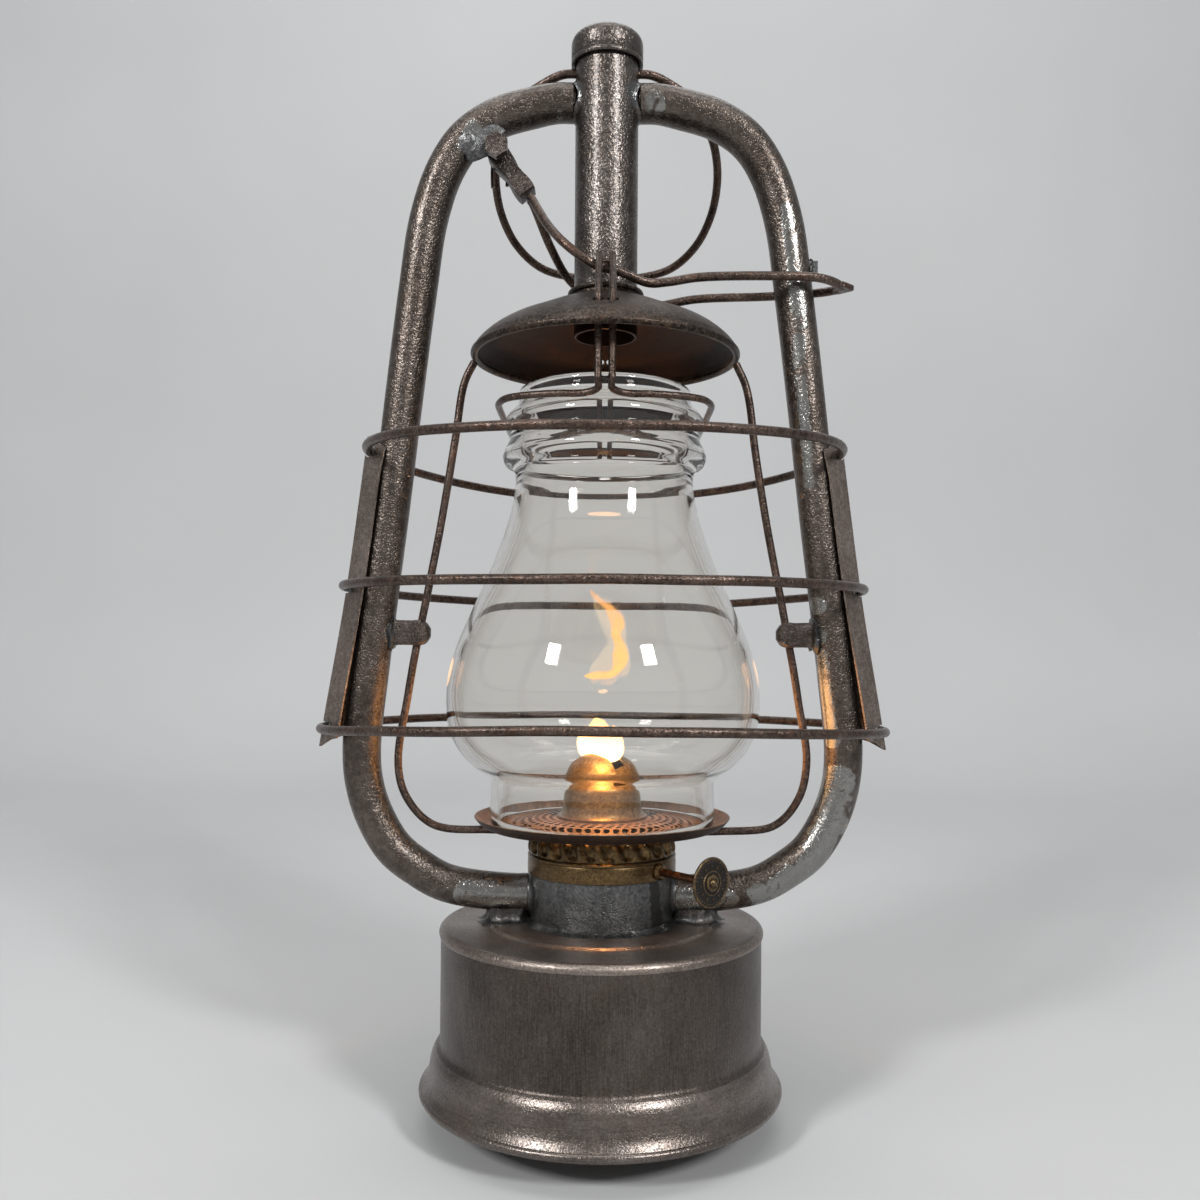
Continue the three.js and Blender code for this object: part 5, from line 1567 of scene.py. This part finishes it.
@dataclass
class Retainer:
    """The wire that holds the globe down."""

    half_width: float = 35.0
    half_depth: float = 33.4
    height: float = 227.3
    wire: float = 1.15
    leg: float = 36.7
    spread: float = 2.2
    bend: float = 258.6
    top: float = 276.0
    tip: float = 14.6
    drop: float = 1.6
    oval: Sequence[Point2] = ((1, 0), (1, 0.2), (0.985, 0.5), (0.89, 0.74), (0.7, 0.87), (0.42, 0.955),
                              (0.18, 0.99))
    bench: Bench = field(default_factory=Bench)

    def build(self) -> None:
        """Bends the one closed wire."""
        hook = self.tip + 2 * self.wire
        quarter = [(self.half_width * x, -self.half_depth * y, self.height) for x, y in self.oval] + [
            (self.spread, -(self.half_depth + self.leg) / 2, self.height + self.wire),
            (self.spread, -self.leg, self.height + 3 * self.wire),
            (self.spread, -self.leg, self.height + 5 * self.wire),
            (self.spread, -self.leg, self.bend - 4 * self.wire),
            (self.spread, -self.leg, self.bend - 2 * self.wire),
            (self.spread, -self.leg + self.wire, self.bend),
            (self.spread, -hook - 2 * self.wire, self.top - self.wire),
            (self.spread, -hook, self.top),
            (self.spread * 0.9, -self.tip - self.wire / 2, self.top - self.drop / 2),
            (self.spread / 2, -self.tip, self.top - self.drop)]
        half = quarter + [(-x, y, z) for x, y, z in reversed(quarter)][:-1]
        line = flowing(half + [(-x, -y, z) for x, y, z in half], 6, True)
        wire = drawn(line, self.wire - 0.02, 12, True, Vector((1, 0, 0.2)))
        self.bench.piece(wire.to_object("retaining_wire"), WIRE, Body.RETAINER, Slot.WIRE, "globe_retainer")


@dataclass
class Lever:
    """The lift lever with its pivot and catch."""

    pivot: Point3 = (-36.7, 0.0, 315.2)
    slope: float = math.radians(53)
    strap: float = 17.0
    strap_half: float = 3.6
    strap_end: float = 3.7
    bolt_hole: float = 2.1
    wire: float = 1.48
    start_gap: float = 1.8
    half_gap: float = 18.2
    kink: float = 268.1
    nose: float = 80.0
    tip_half: float = 0.95
    run: Sequence[Point3] = ((0.062, 0.55, 0.612), (0.117, 0.93, 0.352), (0.167, 1, 0.214),
                             (0.215, 0.97, 0.13), (0.288, 0.88, 0.082), (0.378, 0.725, 0),
                             (0.439, 0.68, 0.019), (0.538, 0.64, 0.075), (0.778, 0.59, 0.103),
                             (0.902, 0.48, 0.112), (0.968, 0.27, 0.103), (1, 0, 0.093))
    point: Sequence[Point2] = ((78.5, -4.5), (80.2, -4.2), (82.2, -2.4), (84.3, -0.3), (84.3, 0.3),
                               (82.2, 2.4), (80.2, 4.2), (78.5, 4.5), (77.6, 2.5), (77.4, 0), (77.6, -2.5))
    bench: Bench = field(default_factory=Bench)

    def build(self) -> None:
        """Makes the lever's wire and dresses the pivot."""
        self._wire()
        self._ferrule()
        self.bench.keep("lever_catch", SOLDERED, 0.35)
        self.bench.keep("lever_bolt", EYES, 0.35)
        self.bench.keep("lever_split_pin", WIRE, 0)
        self._lug()
        lump = blob((69.3, 0.2, 276.6), (1.6, 3.6, 3.8), 6.0, 0.3)
        self.bench.piece(lump.to_object("catch_solder"), SOLDERED, Body.FRAME, Slot.SOLDER)

    def _lug(self) -> None:
        """The lug under the solder that holds it to the arch."""
        tilt = Matrix.Translation((-41.2, -5.0, 317.6)) @ Matrix.Rotation(math.radians(-38), 4, "Y")
        lug = blob((0, 0, 0), (7.4, 1.7, 4.6), 4.0, 0.22).moved(tilt)
        lug.add(blob((-46.0, -4.2, 318.2), (4.4, 3.0, 5.2), 2.0, 0.3))
        self.bench.piece(lug.to_object("soldered_lug"), LUMP, Body.FRAME, Slot.SOLDER, "lever_lug")

    def _wire(self) -> None:
        """The hairpin and its flattened point."""
        down = Vector((math.cos(self.slope), 0, -math.sin(self.slope)))
        start = Vector(self.pivot) + down * (self.strap + 0.6)
        leave = start + down * 1.5
        long, tall = self.nose - start.x, start.z - self.kink
        front = [(start.x, -self.start_gap, start.z), (leave.x, -self.start_gap, leave.z)]
        front += [(start.x + long * along, -self.half_gap * gap, self.kink + tall * up)
                  for along, gap, up in self.run]
        points = front + [(x, -y, z) for x, y, z in front[-2::-1]]
        wire = drawn(flowing(points, 7), self.wire, 14)
        level = front[-1][2]
        tip = plate(self.point, level - self.tip_half, level + self.tip_half, 0.3)
        made = wire.add(tip).to_object("lever_wire")
        self.bench.piece(made, WIRE, Body.LEVER, Slot.WIRE, "lift_lever")

    def _ferrule(self) -> None:
        """The crimped strap round the two wire ends."""
        turns = [math.radians(angle) for angle in range(-90, 91, 15)]
        end = [(-self.strap_end * math.cos(turn), self.strap_end * math.sin(turn)) for turn in turns]
        edge = [(5, 3.3), (8, 2.7), (10.5, 2.9), (13, 3.3), (15.5, 3.3), (17, 2.9)]
        outline = end + edge + [(x, -y) for x, y in reversed(edge)]
        turn = (Matrix.Translation(self.pivot) @ Matrix.Rotation(self.slope, 4, "Y")
                @ Matrix.Rotation(QUARTER_TURN, 4, "X"))
        strap = plate(outline, -self.strap_half, self.strap_half, 0.7)
        made = strap.moved(turn).to_object("crimped_ferrule")
        x, _, z = self.pivot
        carve(made, [peg((x, -8, z), (x, 8, z), self.bolt_hole).to_object("bore")])
        self.bench.piece(made, EYES, Body.LEVER, Slot.STEEL, "lever_ferrule")


@dataclass
class Guards:
    """The guard rings, strips and the eyes for the cage wires."""

    wire: float = 1.53
    depth: float = 64.5
    rings: Sequence[tuple[str, float, float, float, float]] = (
        ("lower", 94.6, 120.9, 3.4, 0.7), ("middle", 87.2, 168.1, -0.7, -2.9),
        ("upper", 79.8, 214.2, -3.1, -6.5))
    strip: Sequence[Point2] = ((80.6, 219.6), (87.9, 165.0), (94.2, 127.8), (96.4, 114.2))
    flange: float = 7.07
    flange_edge: float = 0.42
    strip_wall: float = 0.85
    end_rise: float = 5.0
    notch: float = 1.85
    notch_depth: float = 64.6
    eye_height: float = 153.0
    eye_ends: Point2 = (148.7, 157.3)
    eye_middle: float = 61.85
    eye_half: float = 3.25
    eye_gap: float = 1.85
    bench: Bench = field(default_factory=Bench)

    def build(self) -> None:
        """Makes the rings, strips, eyes and their solder."""
        for name, reach, height, front, back in self.rings:
            self._ring(name, reach, height, front, back)
        for side, name in HANDS:
            self._strip(side, name)
            self._eye(side, name)

    def _ring(self, name: str, reach: float, height: float, front: float, back: float) -> None:
        """Makes one ring of wire round the lantern.

        Args:
            name: the ring's name.
            reach: half its width.
            height: its height at the strips.
            front: how much higher it runs in front.
            back: how much lower it runs behind, as front is.
        """
        points, knots = [], 36
        for i in range(knots):
            angle = TAU * i / knots
            rise = (front if math.sin(angle) < 0 else back) * math.sin(angle) ** 2
            points.append((reach * math.cos(angle), self.depth * math.sin(angle), height + rise))
        line = [point + noise.noise_vector(point * 0.03) * 0.25 for point in flowing(points, 5, True)]
        made = drawn(line, self.wire, 14, True, Z_AXIS).to_object("ring_wire_" + name)
        self.bench.piece(made, WIRE, Body.FRAME, Slot.WIRE, "guard_ring_" + name)

    def _strip(self, side: int, name: str) -> None:
        """Makes one angle strip and the solder at its notches.

        Args:
            side: 1 for the right, -1 for the left.
            name: the side's name.
        """
        made = self._angle().on_hand(side).to_object("angle_strip_" + name, 25)
        turns = [math.radians(-9 + 2 * k) for k in range(10)]
        cutters = []
        for _, reach, height, _, _ in self.rings:
            path = [Vector((side * reach * math.cos(turn), self.notch_depth * math.sin(turn), height))
                    for turn in turns]
            cutters.append(drawn(path, self.notch, 16, up=Z_AXIS).to_object("notch"))
        carve(made, cutters)
        self.bench.piece(made, STRIP, Body.FRAME, Slot.STEEL, "guard_strip_" + name)
        for ring, reach, height, _, _ in self.rings:
            lump = blob((side * (reach - 2.2), 0, height), (2.0, 3.2, 2.6), reach + side, 0.35)
            made = lump.to_object(f"notch_solder_{ring}_{name}")
            self.bench.piece(made, SOLDERED, Body.FRAME, Slot.SOLDER)

    def _angle(self) -> Shell:
        """Makes the right strip: two flanges that meet outside, with slanting ends.

        Returns:
            The strip's shell.
        """
        line = flowing([(x, 0, z) for x, z in self.strip], 8)
        count, sides = len(line), 6
        wide, edge = self.flange, self.flange_edge
        shell = Shell()
        for i, point in enumerate(line):
            x, z = point.x, point.z
            slant = max(0.0, 1 - (count - 1 - i) / 2) - max(0.0, 1 - i / 2)
            flare = z + self.end_rise * slant
            shell.points += [Vector((x, 0, z)), Vector((x - wide, -wide, flare)),
                             Vector((x - wide - edge, -wide + edge, flare)),
                             Vector((x - self.strip_wall, 0, z)),
                             Vector((x - wide - edge, wide - edge, flare)), Vector((x - wide, wide, flare))]
        shell.join_rings(count, sides)
        for base in (0, (count - 1) * sides):
            shell.faces += [(base, base + 1, base + 2, base + 3), (base, base + 3, base + 4, base + 5)]
        return shell

    def _eye(self, side: int, name: str) -> None:
        """Makes one guide eye with the solder that holds it.

        Args:
            side: 1 for the right, -1 for the left.
            name: the side's name.
        """
        low, high = self.eye_ends
        back = [(x, -self.eye_half) for x in (63, 65, 67, 69, 71, 72.5)]
        outline = round_end(self.eye_middle, self.eye_half, 15) + back + [(x, -y) for x, y in reversed(back)]
        strap = plate(outline, low, high, 0.9).bent(self._rounded).to_object("guide_strap_" + name)
        slot = round_end(self.eye_middle, self.eye_gap, 20) + [(68.8, -self.eye_gap), (68.8, self.eye_gap)]
        carve(strap, [plate(slot, 140, 165).to_object("slot")])
        if side < 0:
            strap.data.transform(MIRROR)
            strap.data.flip_normals()
        self.bench.piece(strap, EYES, Body.FRAME, Slot.SOLDER, "guide_eye_" + name)
        lump = blob((side * 71.7, 0, self.eye_height), (2.2, 5.0, 6.2), 9.0 * side, 0.35)
        self.bench.piece(lump.to_object("eye_solder_" + name), SOLDERED, Body.FRAME, Slot.SOLDER)

    def _rounded(self, point: Vector) -> Vector:
        """Rounds the eye's end and pinches its waist.

        Args:
            point: a point of the flat strap.

        Returns:
            Where the point comes to lie.
        """
        from_end = max(0.0, 63.2 - point.x) / 4.9
        tall = math.sqrt(max(0.12, 1 - from_end**2)) - 0.2 * math.exp(-((point.x - 67.2) / 2.2) ** 2)
        return Vector((point.x, point.y, self.eye_height + (point.z - self.eye_height) * tall))


@dataclass
class CarryRing:
    """The wire ring for carrying."""

    half_width: float = 40.0
    drop: float = 72.0
    tilt: float = math.radians(42)
    pivot: float = 343.2
    wire: float = 1.48
    shares: Sequence[Point2] = ((0, 0), (0.2, 0), (0.35, 0), (0.43, 0.012), (0.55, 0.045), (0.68, 0.09),
                                (0.79, 0.15), (0.89, 0.24), (0.97, 0.36), (1, 0.5), (0.965, 0.66),
                                (0.84, 0.82), (0.62, 0.94), (0.33, 0.99), (0, 1))
    bench: Bench = field(default_factory=Bench)

    def build(self) -> None:
        """Bends the ring."""
        right = [self._place(*share) for share in self.shares]
        points = right + [(-x, y, z) for x, y, z in right[-2:0:-1]]
        wire = drawn(flowing(points, 6, True), self.wire, 14, True)
        self.bench.piece(wire.to_object("carry_wire"), WIRE, Body.CARRY_RING, Slot.WIRE, "carry_ring")

    def _place(self, out: float, down: float) -> Point3:
        """The point at a share of the ring's half-width and of its drop."""
        fall = self.drop * down
        return (self.half_width * out, fall * math.sin(self.tilt), self.pivot - fall * math.cos(self.tilt))


# Studio

FLAME_LIGHT = (1.0, 0.48, 0.17)
WHITE_LIGHT = (1, 1, 1)


@dataclass(frozen=True)
class Lamp:
    """An area lamp: a soft panel, or the flame's warm light on what is near it."""

    name: str
    spot: Point3
    size: Point2
    power: float
    target: Point3 = (0, 0, 0.15)
    of_flame: bool = False

    def light(self) -> None:
        """Hangs the lamp, unseen by the camera."""
        data = bpy.data.lights.new(self.name, "AREA")
        data.shape = "DISK" if self.of_flame else "RECTANGLE"
        data.size, data.size_y = self.size
        data.energy = self.power
        data.color = FLAME_LIGHT if self.of_flame else WHITE_LIGHT
        lamp = bpy.data.objects.new(self.name, data)
        lamp.location = self.spot
        aim = Vector(self.target) - Vector(self.spot)
        lamp.rotation_euler = aim.to_track_quat("-Z", "Y").to_euler()
        lamp.visible_camera = False
        lamp.visible_transmission = not self.of_flame
        bpy.context.collection.objects.link(lamp)


LAMPS = (
    Lamp("left_panel", (-1.05, -1.22, 1.14), (0.27, 0.34), 21.0),
    Lamp("right_panel", (0.94, -1.28, 1.14), (0.27, 0.34), 21.0),
    Lamp("overhead", (0.0, -0.35, 1.7), (1.2, 0.6), 7.0),
    Lamp("overhead_back", (0.0, 0.6, 1.5), (1.2, 0.5), 3.6),
    Lamp("flame_up", (0, 0, 0.19), (0.012, 0.012), 0.11, (0, 0, 0.3), True),
    Lamp("flame_down", (0, -0.022, 0.126), (0.006, 0.006), 0.08, (0, 0.002, 0.1), True),
    Lamp("flame_left", (-0.055, 0.0, 0.125), (0.04, 0.04), 0.009, (-0.2, 0, 0.16), True),
    Lamp("flame_right", (0.055, 0.0, 0.125), (0.04, 0.04), 0.014, (0.2, 0, 0.16), True),
)


@dataclass
class Studio:
    """The camera, the lamps, the floor and the backdrop, in metres."""

    distance: float = 0.3808
    eye: float = 0.1465
    lens: float = 33.6
    film: float = 36.0
    roll: float = math.radians(0.4)
    shift: Point2 = (-3.2, 53.0)
    floor_half: float = 3.0
    sweep: Sequence[Point2] = ((-2.6, 0.0), (0.55, 0.0), (0.8, 0.03), (0.92, 0.12), (0.97, 0.3), (0.98, 1.6))
    paper: tuple[Colour, Colour] = ((0.45, 0.453, 0.456), (0.52, 0.523, 0.526))
    seen_round: Colour = (0.4, 0.405, 0.41)
    lit_round: Colour = (0.27, 0.275, 0.28)

    def build(self) -> None:
        """Sets up the view and the light."""
        self._camera()
        self._stage()
        self._world()
        for lamp in LAMPS:
            lamp.light()

    def _camera(self) -> None:
        """The camera at the photograph's height and distance, with its shift in the photograph's pixels."""
        data = bpy.data.cameras.new("view")
        data.lens = self.lens
        data.sensor_width = self.film
        data.sensor_fit = "HORIZONTAL"
        data.shift_x = self.shift[0] / PHOTO_SIDE
        data.shift_y = self.shift[1] / PHOTO_SIDE
        data.clip_start = 0.01
        camera = bpy.data.objects.new("view", data)
        turn = Matrix.Rotation(QUARTER_TURN, 4, "X") @ Matrix.Rotation(self.roll, 4, "Z")
        camera.matrix_world = Matrix.Translation((0, -self.distance, self.eye)) @ turn
        bpy.context.collection.objects.link(camera)
        bpy.context.scene.camera = camera

    def _stage(self) -> None:
        """A pale floor that turns up into a backdrop."""
        line = flowing_profile(self.sweep, 6)
        shell = Shell()
        for y, z in line:
            shell.points += [Vector((side * self.floor_half / MM, y / MM, z / MM)) for side in (-1, 1)]
        for i in range(len(line) - 1):
            shell.faces.append((2 * i, 2 * i + 1, 2 * i + 3, 2 * i + 2))
        floor = shell.to_object("studio_floor")
        recipe = Recipe("pale_paper")
        tone = recipe.blend(recipe.clouds(3, 3, 0.5), *self.paper)
        surface = recipe.node("BsdfPrincipled", Base_Color=tone, Roughness=0.85)
        floor.data.materials.append(recipe.finish(surface))

    def _world(self) -> None:
        """A soft even surround, paler where it is seen than where it lights."""
        sky = Recipe("surround", "World")
        seen = sky.node("LightPath", out="Is Camera Ray")
        for kind in ("Is Glossy Ray", "Is Transmission Ray"):
            seen = seen.higher_of(sky.node("LightPath", out=kind))
        colour = sky.blend(seen, self.lit_round, self.seen_round)
        bpy.context.scene.world = sky.finish(sky.node("Background", Color=colour, Strength=1.0))


def main() -> None:
    """Builds the studio and every sub-assembly."""
    logging.basicConfig(level=logging.INFO, format="%(name)s: %(message)s")
    bpy.context.scene.view_settings.view_transform = "Standard"
    # Unseeded, Blender takes noise_vector from the clock and the wires differ from run to run.
    noise.seed_set(WANDER_SEED)
    Studio().build()
    bench = Bench()
    for assembly in (Fount(bench=bench), AirPath(bench=bench), Burner(bench=bench), Flame(bench=bench),
                     Cage(bench=bench), Retainer(bench=bench), Lever(bench=bench), Guards(bench=bench),
                     CarryRing(bench=bench)):
        assembly.build()
        LOG.info("%s done", type(assembly).__name__)


if __name__ == "__main__":
    main()
